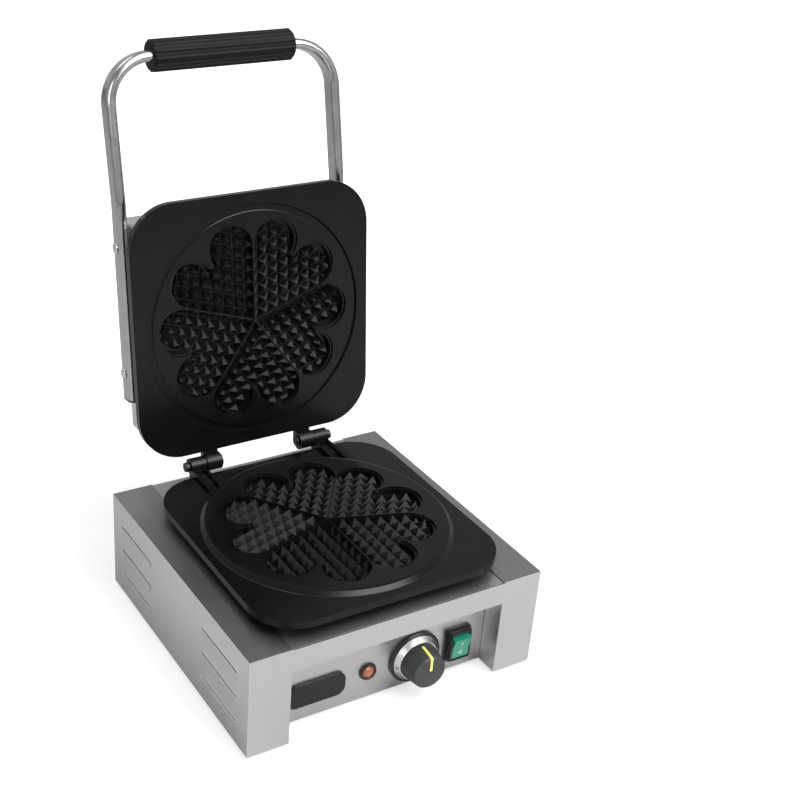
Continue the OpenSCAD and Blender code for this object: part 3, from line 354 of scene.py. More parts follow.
@finish
def plain_metal(tree, shader, colour, rough, depth=0.00001):
    """Turned, drawn or plated metal with slight variation."""
    skin = placed(tree, fine_texture(), Pebble=900.0, Cloud=45.0)
    fill(tree, shader, {"Base Color": varied(tree, skin["Clouds"], colour, 0.88, 1.08), "Metallic": 1.0,
                        "Roughness": spread(tree, skin["Clouds"], 0, 1, rough * 0.8, rough * 1.25),
                        "Normal": bump(tree, skin["Pebbles"], depth)})


@finish
def moulded(tree, shader, colour, rough=0.4, pebble=2400.0, depth=0.00002, coat=0.0, sheen=0.0, wear=0.0,
            gloss=0.5):
    """Moulded plastic, rubber or ceramic with a fine skin and paler edges."""
    skin = placed(tree, fine_texture(), Pebble=pebble, Cloud=40.0)
    base = varied(tree, skin["Clouds"], colour, 0.86, 1.12)
    if wear:
        edges = placed(tree, rubbed_edges(), Start=0.53, Full=0.62)["Mask"]
        paler = tuple(min(1, c * 1.7 + 0.03) for c in colour)
        base = mixed(tree, maths(tree, "MULTIPLY", edges, wear), base, paler)
    fill(tree, shader, {"Base Color": base, "Coat Weight": coat, "Coat Roughness": 0.08, "Sheen Weight": sheen,
                        "Roughness": spread(tree, skin["Clouds"], 0, 1, rough * 0.85, rough * 1.2),
                        "Specular IOR Level": gloss, "Normal": bump(tree, skin["Pebbles"], depth)})


@finish
def coated_casting(tree, shader, colour, worn_colour):
    """Non-stick coating on a casting: a fine orange skin, rubbed thin on the edges and high tops."""
    skin = placed(tree, fine_texture(), Pebble=1500.0, Cloud=26.0)
    worn = add(tree, "ShaderNodeAttribute", attribute_name="worn").outputs["Fac"]
    patchy = spread(tree, noise(tree, object_place(tree), 160.0, 3.0), 0.3, 0.65, 0.25, 0.7)
    edges = maths(tree, "MULTIPLY", worn, patchy)
    rough = spread(tree, skin["Clouds"], 0, 1, 0.16, 0.23)
    base = varied(tree, skin["Clouds"], colour, 0.85, 1.15)
    fill(tree, shader, {"Base Color": mixed(tree, edges, base, worn_colour), "Specular IOR Level": 0.21,
                        "Roughness": maths(tree, "ADD", rough, maths(tree, "MULTIPLY", edges, -0.06)),
                        "Normal": bump(tree, skin["Pebbles"], 0.00003)})


@finish
def clear_plastic(tree, shader, colour, through, rough):
    """Tinted, partly clear plastic: lamp lens and lit rocker."""
    skin = placed(tree, fine_texture(), Pebble=1200.0, Cloud=120.0)
    fill(tree, shader, {"Base Color": varied(tree, skin["Clouds"], colour, 0.85, 1.15), "Roughness": rough,
                        "Transmission Weight": through, "Coat Weight": 0.6, "Coat Roughness": 0.05,
                        "Normal": bump(tree, skin["Pebbles"], 0.000008)})


# ---- meshes ----

MERGE = 0.000005  # corners closer than this are one
FLAT = 0.7  # a normal's share along an axis, above which its face counts as facing that way


def link_mesh(name, mesh):
    """A piece in the scene that shows this mesh."""
    piece = bpy.data.objects.new(name, mesh)
    bpy.context.scene.collection.objects.link(piece)
    return piece


def lies_flat(normal):
    """Whether a face looks more up or down than sideways."""
    return abs(normal.z) > FLAT


def built(name, build):
    """The piece that a bmesh makes, which ends the bmesh."""
    mesh = bpy.data.meshes.new(name)
    build.to_mesh(mesh)
    build.free()
    return link_mesh(name, mesh)


def plain(piece):
    """The piece with its modifiers turned into a plain mesh."""
    depsgraph = bpy.context.evaluated_depsgraph_get()
    mesh = bpy.data.meshes.new_from_object(piece.evaluated_get(depsgraph), depsgraph=depsgraph)
    piece.modifiers.clear()
    old = piece.data
    piece.data = mesh
    bpy.data.meshes.remove(old)
    return mesh


def settled(piece, smooth_angle=32.0):
    """The piece as a plain mesh, smooth up to an angle, with its large faces kept flat."""
    mesh = plain(piece)
    for face in mesh.polygons:
        face.use_smooth = True
    mesh.set_sharp_from_angle(angle=math.radians(smooth_angle))
    even = piece.modifiers.new("Face normals", "WEIGHTED_NORMAL")
    even.mode = "FACE_AREA"
    even.weight = 100
    even.keep_sharp = True
    plain(piece)
    return piece


def softened(node, name, width, segments=2, angle=30.0, pressed=None):
    """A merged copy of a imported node, with its sharp edges rounded.

    pressed(place) is true where a wall has cut-outs: there the faces stay as they are and no edge is rounded.
    """
    mesh = NODES[node].data.copy()
    mesh.materials.clear()
    build = bmesh.new()
    build.from_mesh(mesh)
    bmesh.ops.remove_doubles(build, verts=build.verts, dist=MERGE)
    free = [v for v in build.verts if not (pressed and pressed(v.co))]
    inside = set(free)
    bmesh.ops.dissolve_limit(build, angle_limit=math.radians(0.3), verts=free,
                             edges=[e for e in build.edges if inside.issuperset(e.verts)])
    weight = build.edges.layers.float.new("bevel_weight_edge")
    for edge in build.edges:
        sharp = edge.is_manifold and edge.calc_face_angle() > math.radians(angle)
        cut_out = pressed and any(pressed(v.co) for v in edge.verts)
        edge[weight] = 1.0 if sharp and not cut_out else 0.0
    build.to_mesh(mesh)
    build.free()
    mesh.name = name
    if mesh.has_custom_normals:
        mesh.attributes.remove(mesh.attributes["custom_normal"])
    piece = link_mesh(name, mesh)
    bevel = piece.modifiers.new("Soft edges", "BEVEL")
    bevel.width = width
    bevel.segments = segments
    bevel.limit_method = "WEIGHT"
    bevel.miter_outer = "MITER_ARC"
    return settled(piece)


def grain_map(piece, along):
    """A flat map in metres whose first axis runs along the grain; along(normal) gives its direction."""
    mesh = piece.data
    layer = mesh.uv_layers.new(name="grain")
    for face in mesh.polygons:
        normal = face.normal
        run = Vector(along(normal))
        run = run - normal * run.dot(normal)
        if run.length < 1e-4:
            run = normal.orthogonal()
        run.normalize()
        across = normal.cross(run)
        for loop in face.loop_indices:
            place = mesh.vertices[mesh.loops[loop].vertex_index].co
            layer.data[loop].uv = (place.dot(run), place.dot(across))


def marked(piece, name, test):
    """A face mask, 1 where test(face) holds."""
    layer = piece.data.attributes.new(name, "FLOAT", "FACE")
    for face in piece.data.polygons:
        layer.data[face.index].value = 1.0 if test(face) else 0.0


def rubbed(piece, width):
    """A face mask, 1 on the narrow faces that round the edges and on small high tops."""
    places = [v.co for v in piece.data.vertices]

    def narrow(face):
        corners = [places[i] for i in face.vertices]
        return face.area < width * max((a - b).length for a, b in zip(corners, corners[1:] + corners[:1]))

    marked(piece, "worn", narrow)


def dressed(piece, material, body, slot, *replaced):
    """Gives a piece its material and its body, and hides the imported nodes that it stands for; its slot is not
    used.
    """
    piece.data.materials.clear()
    piece.data.materials.append(material)
    if replaced:
        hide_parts(*replaced)
    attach(piece, body)
    return piece


def rounded(node, name, width, segments, material, body, slot):
    """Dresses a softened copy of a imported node."""
    return dressed(softened(node, name, width, segments), material, body, slot, node)


def coated(material, *nodes):
    """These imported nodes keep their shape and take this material."""
    for node in nodes:
        mesh = NODES[node].data
        mesh.materials.clear()
        mesh.materials.append(material)


def blocks(name, *matrices):
    """A unit cube under each matrix, as one piece."""
    build = bmesh.new()
    for matrix in matrices:
        bmesh.ops.create_cube(build, size=1.0, matrix=matrix)
    return built(name, build)


def turned(name, profile, count=64, ring=False):
    """A closed solid of revolution about Z from (radius, height) points, first and last on the axis.

    A ring has none of them on the axis, and its last point joins its first.
    """
    build = bmesh.new()
    steps = [2 * math.pi * i / count for i in range(count)]
    rings = []
    for radius, height in profile:
        if radius < 1e-7:
            rings.append([build.verts.new((0, 0, height))])
        else:
            rings.append([build.verts.new((radius * math.cos(a), radius * math.sin(a), height)) for a in steps])
    for low, high in zip(rings, rings[1:] + (rings[:1] if ring else [])):
        for i in range(count):
            j = (i + 1) % count
            if len(low) == 1:
                build.faces.new((low[0], high[j], high[i]))
            elif len(high) == 1:
                build.faces.new((low[i], low[j], high[0]))
            else:
                build.faces.new((low[i], low[j], high[j], high[i]))
    bmesh.ops.recalc_face_normals(build, faces=build.faces)
    return built(name, build)


def point_piece(name, places, label, vectors, edges=()):
    """Points that each carry a vector under this label; a path has edges too."""
    mesh = bpy.data.meshes.new(name)
    mesh.from_pydata([tuple(p) for p in places], list(edges), [])
    layer = mesh.attributes.new(label, "FLOAT_VECTOR", "POINT")
    for item, vector in zip(layer.data, vectors):
        item.vector = tuple(vector)
    return link_mesh(name, mesh)


def moved(piece, matrix):
    """The piece with its corners moved, so that it stays at the origin."""
    piece.data.transform(matrix)
    return piece


def facing(place, direction, up=(0, 0, 1)):
    """A matrix that stands a piece drawn on +Z on a place, facing a direction."""
    out = Vector(direction).normalized()
    side = Vector(up).cross(out).normalized()
    turn = Matrix((side, out.cross(side), out)).transposed().to_4x4()
    return Matrix.Translation(place) @ turn


def islands(node):
    """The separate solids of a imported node, each as a list of its corners."""
    build = bmesh.new()
    build.from_mesh(NODES[node].data)
    bmesh.ops.remove_doubles(build, verts=build.verts, dist=MERGE)
    seen, found = set(), []
    for first in build.verts:
        if first.index in seen:
            continue
        seen.add(first.index)
        group = [first]
        for vert in group:
            for edge in vert.link_edges:
                other = edge.other_vert(vert)
                if other.index not in seen:
                    seen.add(other.index)
                    group.append(other)
        found.append([v.co.copy() for v in group])
    build.free()
    return found


def screw_part(name, radius, height, shank, length, recess):
    """A screw standing on Z = 0 with a domed head; a cross recess of this length is cut in it, if any."""
    arc = [math.pi / 2 * i / 6 for i in range(7)]
    rim = 0.35  # the share of the head's height that its straight rim takes
    dome = [(radius * math.cos(a), height * (rim + (1 - rim) * math.sin(a))) for a in arc[:-1]] + [(0, height)]
    head = turned(name, [(0, -length), (shank, -length), (shank, 0), (radius, 0)] + dome, 32)
    if recess:
        lift = Matrix.Translation((0, 0, height * 0.95))
        arm = Matrix.Diagonal((recess, recess * 0.2, height, 1))
        cross = blocks("cross", *(lift @ Matrix.Rotation(turn, 4, "Z") @ arm for turn in (0, math.pi / 2)))
        cut = head.modifiers.new("Recess", "BOOLEAN")
        cut.solver = "EXACT"
        cut.use_self = True
        cut.object = cross
        plain(head)
        bpy.data.objects.remove(cross)
    return head


# ---- geometry nodes ----


def shape_group(name, *inputs):
    """A geometry group that works on a piece's own geometry and takes a material."""
    shape = ("Geometry", "NodeSocketGeometry")
    return new_group(name, "GeometryNodeTree", [shape, *inputs, ("Material", "NodeSocketMaterial")], [shape])


def end_tree(tree, source, sink, geometry):
    """Ends a tree in real, dressed geometry."""
    real = add(tree, "GeometryNodeRealizeInstances", {"Geometry": geometry}).outputs["Geometry"]
    paint = add(tree, "GeometryNodeSetMaterial", {"Geometry": real, "Material": source["Material"]})
    fill(tree, sink, {"Geometry": paint.outputs["Geometry"]})
    return tree


def grown(piece, tree, values, smooth_angle=32.0):
    """Runs a tree on a piece with these input values and keeps the result as a plain mesh."""
    modifier = piece.modifiers.new(tree.name, "NODES")
    modifier.node_group = tree
    for item in tree.interface.items_tree:
        if item.item_type == "SOCKET" and item.in_out == "INPUT" and item.name in values:
            modifier[item.identifier] = values[item.name]
    return settled(piece, smooth_angle)


def object_shape(tree, source):
    """The shape of the object that a tree takes as its part."""
    return add(tree, "GeometryNodeObjectInfo", {"Object": source["Part"]}).outputs["Geometry"]


def point_vector(tree, name):
    """The vector that each point carries under this name."""
    values = {"Name": name}
    return add(tree, "GeometryNodeInputNamedAttribute", values, data_type="FLOAT_VECTOR").outputs["Attribute"]


@once("Repeated Part")
def repeated_tree(name):
    """Copies of one part on points, each turned by its point's attribute."""
    tree, source, sink = shape_group(name, ("Part", OBJECT), ("Size", FLOAT, 1.0))
    points = add(tree, "GeometryNodeMeshToPoints", {"Mesh": source["Geometry"]})
    turn = add(tree, "FunctionNodeEulerToRotation", {"Euler": point_vector(tree, "turn")})
    copies = add(tree, "GeometryNodeInstanceOnPoints", {
        "Points": points.outputs["Points"], "Instance": object_shape(tree, source),
        "Rotation": turn.outputs["Rotation"], "Scale": source["Size"]})
    return end_tree(tree, source, sink, copies.outputs["Instances"])


@once("Grip Ribs")
def ribs_tree(name):
    """Round-ended ribs side by side round a cylinder whose axis is Z."""
    tree, source, sink = shape_group(name, ("Ribs", INT, 16), ("Radius", FLOAT, 0.0128), ("Part", OBJECT))
    ring = add(tree, "GeometryNodeMeshCircle", {"Vertices": source["Ribs"], "Radius": source["Radius"]})
    copies = add(tree, "GeometryNodeInstanceOnPoints", {
        "Points": ring.outputs["Mesh"], "Instance": object_shape(tree, source)})
    joined = add(tree, "GeometryNodeJoinGeometry", {"Geometry": copies.outputs["Instances"]})
    fill(tree, joined, {"Geometry": source["Geometry"]})
    return end_tree(tree, source, sink, joined.outputs["Geometry"])


@once("Flat Oval Tube")
def tube_tree(name):
    """A flat-oval tube along a path whose points carry the direction of the section's width."""
    tree, source, sink = shape_group(
        name, ("Thickness", FLOAT, 0.010), ("Width", FLOAT, 0.020), ("Steps", INT, 10))
    path = add(tree, "GeometryNodeMeshToCurve", {"Mesh": source["Geometry"]})
    steady = add(tree, "GeometryNodeSetCurveNormal", {
        "Curve": path.outputs["Curve"], "Normal": point_vector(tree, "across")}, mode="FREE")
    section = add(tree, "GeometryNodeCurvePrimitiveQuadrilateral", {
        "Width": source["Width"], "Height": source["Thickness"]})
    # just under half the thickness, so that no two corners of the section meet
    radius = maths(tree, "MULTIPLY", source["Thickness"], 0.499)
    rounding = add(tree, "GeometryNodeFilletCurve", {
        "Curve": section.outputs["Curve"], "Count": source["Steps"], "Radius": radius}, mode="POLY")
    sweep = add(tree, "GeometryNodeCurveToMesh", {
        "Curve": steady.outputs["Curve"], "Profile Curve": rounding.outputs["Curve"], "Fill Caps": True})
    return end_tree(tree, source, sink, sweep.outputs["Mesh"])


# ---- stage ----


class WAFFLE_OT_stage(bpy.types.Operator):
    """Make the floor, the soft lights and the camera"""

    bl_idname = "waffle.stage"
    bl_label = "Stage"

    def execute(self, context):
        settings = context.scene.waffle_stage
        self.floor(settings)
        self.lights(context)
        self.camera(context, settings)
        return {"FINISHED"}

    def floor(self, settings):
        """A matt floor that also glows for the camera, least beside the object, where its shadow lies."""
        half = 30.0
        mesh = bpy.data.meshes.new("floor")
        mesh.from_pydata([(-half, -half, 0), (half, -half, 0), (half, half, 0), (-half, half, 0)], [],
                         [(0, 1, 2, 3)])
        floor = link_mesh("floor", mesh)
        material = bpy.data.materials.new("Pale floor")
        material.use_nodes = True
        tree = material.node_tree
        tree.nodes.remove(tree.nodes["Principled BSDF"])
        rays = tree.nodes.new("ShaderNodeLightPath").outputs
        seen = rays["Is Camera Ray"]
        mirrored = maths(tree, "MAXIMUM", rays["Is Glossy Ray"], rays["Is Transmission Ray"])
        away = add(tree, "ShaderNodeVectorMath", {0: object_place(tree)}, operation="LENGTH").outputs["Value"]
        white = spread(tree, away, 0.25, 0.9, settings.floor_glow, 1.0)
        pale = tuple(settings.floor_colour)
        unseen = mixed(tree, mirrored, pale, tuple(c * settings.floor_mirrored for c in pale))
        colour = mixed(tree, seen, unseen, tuple(c * 0.5 for c in pale))
        matt = add(tree, "ShaderNodeBsdfDiffuse", {"Color": colour})
        glow = add(tree, "ShaderNodeEmission", {"Strength": maths(tree, "MULTIPLY", seen, white)})
        both = add(tree, "ShaderNodeAddShader", {0: matt.outputs[0], 1: glow.outputs[0]})
        fill(tree, tree.nodes["Material Output"], {"Surface": both.outputs[0]})
        mesh.materials.append(material)

    def lights(self, context):
        """A soft room that is darker overhead, and four square lamps turned to the object's middle."""
        world = bpy.data.worlds.new("Soft room")
        context.scene.world = world
        world.use_nodes = True
        tree = world.node_tree
        place = tree.nodes.new("ShaderNodeTexCoord").outputs["Generated"]
        height = add(tree, "ShaderNodeSeparateXYZ", {0: place}).outputs["Z"]
        room = mixed(tree, spread(tree, height, 0.0, 0.9), (0.62, 0.62, 0.62), (0.36, 0.36, 0.365))
        fill(tree, tree.nodes["Background"], {"Color": room, "Strength": 1.0})
        aim = Vector((0, 0, 0.2))
        for name, place, size, watts in (
            ("key", (0.55, -0.6, 2.2), 1.8, 34.0),
            ("fill", (0.9, -1.55, 2.0), 1.8, 54.0),
            ("side", (-1.9, -0.9, 1.3), 1.3, 14.0),
            ("rear", (-0.7, 1.7, 2.4), 1.2, 14.0),
        ):
            data = bpy.data.lights.new(name, "AREA")
            data.shape = "SQUARE"
            data.size = size
            data.energy = watts
            lamp = bpy.data.objects.new(name, data)
            context.scene.collection.objects.link(lamp)
            lamp.location = place
            lamp.rotation_mode = "QUATERNION"
            lamp.rotation_quaternion = (aim - Vector(place)).to_track_quat("-Z", "Y")

    def camera(self, context, settings):
        """Stands in front, to the left and above, and leans a little."""
        turn, tilt, roll = (math.radians(a) for a in (-31.81, 28.59, 3.47))
        back = Vector((math.sin(turn) * math.cos(tilt), -math.cos(turn) * math.cos(tilt), math.sin(tilt)))
        right = Vector((math.cos(turn), math.sin(turn), 0))
        up = back.cross(right)
        side = right * math.cos(roll) + up * math.sin(roll)
        over = up * math.cos(roll) - right * math.sin(roll)
        # in millimetres from the middle of the base, along the camera's own axes
        beside, above, away = 15.81, 198.77, 1382.64
        place = side * beside + over * above + back * away
        data = bpy.data.cameras.new("camera")
        data.sensor_width = 36.0
        data.lens = settings.focal
        data.shift_x, data.shift_y = 0.08574, 0.02371
        data.clip_start, data.clip_end = 0.05, 100
        camera = bpy.data.objects.new("camera", data)
        context.scene.collection.objects.link(camera)
        camera.rotation_mode = "QUATERNION"
        camera.rotation_quaternion = Matrix((side, over, back)).transposed().to_quaternion()
        camera.location = at(place.x, place.y, place.z + 3)
        context.scene.camera = camera
        context.scene.view_settings.view_transform = "Standard"


# ---- pieces ----


class WAFFLE_OT_shell(bpy.types.Operator):
    """Make the folded base: housing, deck, control panel, back and bottom"""

    bl_idname = "waffle.shell"
    bl_label = "Base shell"

    def execute(self, context):
        steel = context.scene.waffle_steel
        shell = self.housing(steel.edge)
        # the housing's top strips get the painted dark reflection colour
        dressed(shell, brushed_steel("Brushed housing", steel.colour, steel.strip_colour), "base", "stainless",
                "housing")
        deck = softened("top_plate", "base_deck", steel.edge * 0.5, 2)
        grain_map(deck, lambda n: (1, 0, 0) if lies_flat(n) else (0, 0, 1))
        dressed(deck, brushed_steel("Brushed deck", steel.deck_colour, rough=(0.30, 0.46)), "base",
                "stainless_deck", "top_plate")
        paneling = brushed_steel("Brushed panel", tuple(c * 0.95 for c in steel.colour))
        for node, name, edge in (("control_panel", "base_control_panel", 0.0002),
                                 ("back_panel", "base_back_panel", 0.0003)):
            panel = softened(node, name, edge, 1)
            grain_map(panel, lambda n: (1, 0, 0))
            dressed(panel, paneling, "base", "stainless_panel", node)
        rounded("bottom_plate", "base_bottom_plate", 0.0003, 1, zinc_plate(), "base", "zinc")
        return {"FINISHED"}

    def housing(self, edge):
        """The housing with its louvered walls left as they are, and its side strips marked for a painted dark
        reflection.
        """
        low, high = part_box("housing")
        # the louvered zone takes in the wall's thickness and stops short of its edges
        wall, margin = high.x - 0.0045, 0.006
        # the strips, where a dark reflection is painted into the steel's colour, are the faces that look up and
        # are this close to the top
        skin = 0.0016

        def louvered(place):
            return (abs(place.x) > wall and low.y + margin < place.y < high.y - margin
                    and low.z + margin < place.z < high.z - margin)

        shell = softened("housing", "base_housing", edge, 2, pressed=louvered)
        grain_map(shell, lambda n: (0, 1, 0) if lies_flat(n) else (0, 0, 1))
        # the mask of the strip faces that take the painted dark reflection
        marked(shell, "strip", lambda f: f.normal.z > FLAT and f.center.z > high.z - skin)
        return shell


class WAFFLE_OT_plates(bpy.types.Operator):
    """Make the two cast plates with their hearts"""

    bl_idname = "waffle.plates"
    bl_label = "Cast plates"

    def execute(self, context):
        plates = context.scene.waffle_plates
        coating = coated_casting("Non-stick coating", plates.colour, plates.worn_colour)
        for node, name, body in (("lower_plate", "plate_lower", "base"), ("upper_plate", "plate_upper", "lid")):
            plate = softened(node, name, plates.edge, 2, angle=22.0)
            rubbed(plate, width=0.0011)
            dressed(plate, coating, body, "cast_plate", node)
        return {"FINISHED"}


class WAFFLE_OT_cover(bpy.types.Operator):
    """Make the steel cover behind the lid's plate"""

    bl_idname = "waffle.cover"
    bl_label = "Lid cover"

    def execute(self, context):
        steel = context.scene.waffle_steel
        cover = softened("lid_cover", "lid_cover_box", steel.edge, 2)
        rise = (LID_SPIN @ Vector((0, -1, 0))).normalized()
        grain_map(cover, lambda n: rise if abs(n.dot(LID_OUT)) > FLAT else LID_OUT)
        dressed(cover, brushed_steel("Brushed cover", steel.colour), "lid", "stainless_cover", "lid_cover")
        return {"FINISHED"}


# the handle on the closed lid, in millimetres: where the tube lies, and along it the end of its leg, the
# slight bend and the grip's axis, with the radii of the slight bend and of the corner
PLATE_Y, TUBE_Z, TUBE_X = -10.7, 171.8, 118.0
LEG_END, KINK_AT, KINK_R, GRIP_AT, BEND_R = 73.0, 122.0, 30.0, 250.5, 42.0
KINK = math.radians(5.4)


def on_upper_handle(x, along):
    """A place on the leaning upper part of the handle, in millimetres from the slight bend."""
    y = -along * math.cos(KINK) - KINK_R * math.sin(KINK)
    z = along * math.sin(KINK) - KINK_R * math.cos(KINK)
    return on_lid(x, PLATE_Y - KINK_AT + y, TUBE_Z + KINK_R + z)


class WAFFLE_OT_handle(bpy.types.Operator):
    """Make the bent tube and its ribbed grip"""

    bl_idname = "waffle.handle"
    bl_label = "Handle"

    def execute(self, context):
        handle = context.scene.waffle_handle
        self.tube(handle)
        self.grip(handle)
        coated(moulded("Black plug", (0.02, 0.02, 0.021), 0.4), "handle_plugs")
        return {"FINISHED"}

    def tube(self, handle):
        """One side's leg, slight bend and corner, then the same mirrored, as the path of the tube."""
        lean = LID_SPIN @ Vector((0, math.sin(KINK), math.cos(KINK)))
        run = GRIP_AT - KINK_AT - BEND_R
        places, across = [on_lid(TUBE_X, PLATE_Y + LEG_END, TUBE_Z)], [LID_SPIN @ Vector((0, 0, 1))]
        for i in range(5):
            a = KINK * i / 4
            places.append(on_lid(TUBE_X, PLATE_Y - KINK_AT - KINK_R * math.sin(a),
                                 TUBE_Z + KINK_R * (1 - math.cos(a))))
            across.append(LID_SPIN @ Vector((0, math.sin(a), math.cos(a))))
        for i in range(25):
            a = math.pi / 2 * i / 24
            places.append(on_upper_handle(TUBE_X - BEND_R * (1 - math.cos(a)), run + BEND_R * math.sin(a)))
            across.append(lean)
        flip = Matrix.Diagonal((-1, 1, 1)).to_3x3()
        places += [flip @ p for p in reversed(places)]
        across += [flip @ a for a in reversed(across)]
        edges = [(i, i + 1) for i in range(len(places) - 1)]
        piece = point_piece("handle_tube_sweep", places, "across", across, edges)
        chrome = plain_metal("Polished tube", (0.43, 0.43, 0.44), 0.23, depth=0.000004)
        grown(piece, tube_tree(), {"Thickness": handle.tube_thickness, "Width": handle.tube_width,
                                   "Steps": 8, "Material": chrome}, 40.0)
        dressed(piece, chrome, "lid", "chrome_tube", "handle_tube")

    def grip(self, handle):
        """A turned core with rounded ends, and round-ended ribs along it."""
        # half the grip's length, a rib's radius and where its ends are
        half, r, tip = 0.074, 0.0026, 0.0734
        black = moulded("Black grip", handle.grip_colour, 0.42, pebble=1800.0, wear=0.3, gloss=0.1)
        side = [(0.0120, half), (0.0136, tip), (0.0143, half - 0.002)]
        core = turned("handle_grip_ribbed", [(0, -half)] + [(wide, -z) for wide, z in side] + side[::-1]
                      + [(0, half)], 72)
        arc = [math.pi / 2 * i / 4 for i in range(5)]
        rib = turned("rib", [(r * math.sin(a), -tip + r * (1 - math.cos(a))) for a in arc]
                     + [(r * math.cos(a), tip - r * (1 - math.sin(a))) for a in arc], 20)
        grown(core, ribs_tree(), {"Ribs": handle.ribs, "Radius": 0.0128, "Part": rib, "Material": black})
        bpy.data.objects.remove(rib)
        moved(core, facing(on_upper_handle(0, GRIP_AT - KINK_AT), (1, 0, 0)))
        dressed(core, black, "lid", "grip_black", "handle_grip")


class WAFFLE_OT_badge_lamp(bpy.types.Operator):
    """Make the bare name plate and the lamp"""

    bl_idname = "waffle.badge_lamp"
    bl_label = "Name plate and lamp"

    def execute(self, context):
        controls = context.scene.waffle_controls
        gloss = moulded("Glossy name plate", (0.009, 0.009, 0.01), 0.2, depth=0.000004, coat=0.15, gloss=0.25)
        rounded("name_plate", "panel_name_plate", 0.0008, 3, gloss, "base", "badge_black")
        bezel = moulded("Black bezel", (0.022, 0.022, 0.023), 0.35)
        rounded("lamp_bezel", "lamp_bezel_ring", 0.0003, 2, bezel, "base", "black_plastic")
        low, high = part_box("lamp_lens")
        wide, deep = (high.x - low.x) / 2, high.y - low.y
        lens = turned("lamp_lens_jewel", [(0, -deep), (wide, -deep), (wide, -0.0032), (wide * 0.72, -0.0014),
                                          (wide * 0.38, -0.0004), (0, 0)], 12)
        moved(lens, facing((middle("lamp_lens").x, low.y, middle("lamp_lens").z), (0, -1, 0)))
        settled(lens, 6.0)
        dressed(lens, clear_plastic("Amber lens", controls.lamp_colour, 0.35, 0.1), "base", "amber_lens",
                "lamp_lens")
        return {"FINISHED"}


class WAFFLE_OT_dial(bpy.types.Operator):
    """Make the thermostat's dial, its marks and its knob"""

    bl_idname = "waffle.dial"
    bl_label = "Thermostat"

    def execute(self, context):
        controls = context.scene.waffle_controls
        rim = moulded("Black dial rim", (0.007, 0.007, 0.0075), 0.3, coat=0.1)
        rounded("dial_rim", "dial_rim_ring", 0.0005, 2, rim, "base", "black_plastic")
        satin = plain_metal("Satin scale", (0.70, 0.70, 0.69), 0.34)
        rounded("dial_ring", "dial_scale_ring", 0.0002, 2, satin, "base", "dial_silver")
        self.marks()
        grey = moulded("Grey knob", controls.knob_colour, 0.42, pebble=2600.0, depth=0.00003, wear=0.35)
        rounded("knob", "dial_knob", 0.0006, 3, grey, "knob", "knob_grey")
        yellow = moulded("Yellow line", controls.pointer_colour, 0.45)
        rounded("pointer_mark", "dial_pointer_line", 0.00015, 1, yellow, "knob", "pointer_yellow")
        return {"FINISHED"}

    def marks(self):
        """Plain printed ticks on the scale's cone, and a thicker mark where the scale starts."""
        low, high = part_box("dial_ring")
        centre = (low + high) / 2
        sink, gap = 0.001, 0.0009  # how deep the ring sits in its rim, and the gap round the knob
        foot, face = (high.x - low.x) / 2, middle("knob").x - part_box("knob")[0].x + gap
        deep = high.y - low.y - sink
        slope = math.atan2(foot - face, deep)
        tick = blocks("tick", Matrix.Diagonal((0.0006, 0.0022, 0.0002, 1)))
        ink = moulded("Black print", (0.02, 0.02, 0.02), 0.5, depth=0.000004)
        places, turns = [], []
        for degrees in [95 - i * 36 for i in range(8)] + [183, 186, 189]:
            ray = Vector((math.cos(math.radians(degrees)), 0, math.sin(math.radians(degrees))))
            place = Vector((centre.x, high.y - sink - deep / 2, centre.z)) + ray * (foot + face) / 2
            out = ray * math.cos(slope) - Vector((0, math.sin(slope), 0))
            places.append(place)
            turns.append(facing(place, out, (0, -1, 0)).to_euler())
        marks = point_piece("dial_scale_ticks", places, "turn", turns)
        grown(marks, repeated_tree(), {"Part": tick, "Size": 1.0, "Material": ink})
        bpy.data.objects.remove(tick)
        dressed(marks, ink, "base", "black_plastic")


class WAFFLE_OT_switch(bpy.types.Operator):
    """Make the rocker switch"""

    bl_idname = "waffle.switch"
    bl_label = "Switch"

    def execute(self, context):
        controls = context.scene.waffle_controls
        collar = moulded("Black switch collar", (0.016, 0.016, 0.017), 0.33)
        rounded("switch_frame", "switch_collar", 0.0004, 2, collar, "base", "black_plastic")
        green = clear_plastic("Green rocker", controls.rocker_colour, 0.12, 0.22)
        rounded("switch_rocker", "switch_rocker_key", 0.0005, 3, green, "rocker", "rocker_green")
        self.marks()
        return {"FINISHED"}

    def marks(self):
        """A plain bar and ring on the two halves of the rocker, in its tipped rest position."""
        joint = next(j for j in frame["record"]["behaviour"]["joints"] if j["name"] == "rocker_tilt")
        rest = Matrix.Rotation(math.radians(joint["range_deg"][1] / 2), 4, "X")
        pivot = Matrix.Translation(Vector(joint["pos_m"]))
        pale = moulded("Pale print", (0.40, 0.72, 0.58), 0.4, depth=0.000004)
        # the rocker's hollow face: its depth at the tips and in the middle, and half its height
        deep, mid, half = 0.0078, 0.0064, 0.01165
        hollow = math.atan2(deep - mid, half)
        bar = blocks("switch_mark_on", Matrix.Diagonal((0.0009, 0.0036, 0.0003, 1)))
        ring = turned("switch_mark_off", [(0.0012, -0.00015), (0.0019, -0.00015), (0.0019, 0.00015),
                                          (0.0012, 0.00015)], 40, ring=True)
        for piece, side in ((bar, 1), (ring, -1)):
            out = Vector((0, -math.cos(hollow), -side * math.sin(hollow)))
            place = Vector((0, -(deep + mid) / 2, side * half / 2))
            moved(piece, pivot @ rest @ facing(place, out))
            dressed(piece, pale, "rocker", "rocker_green")


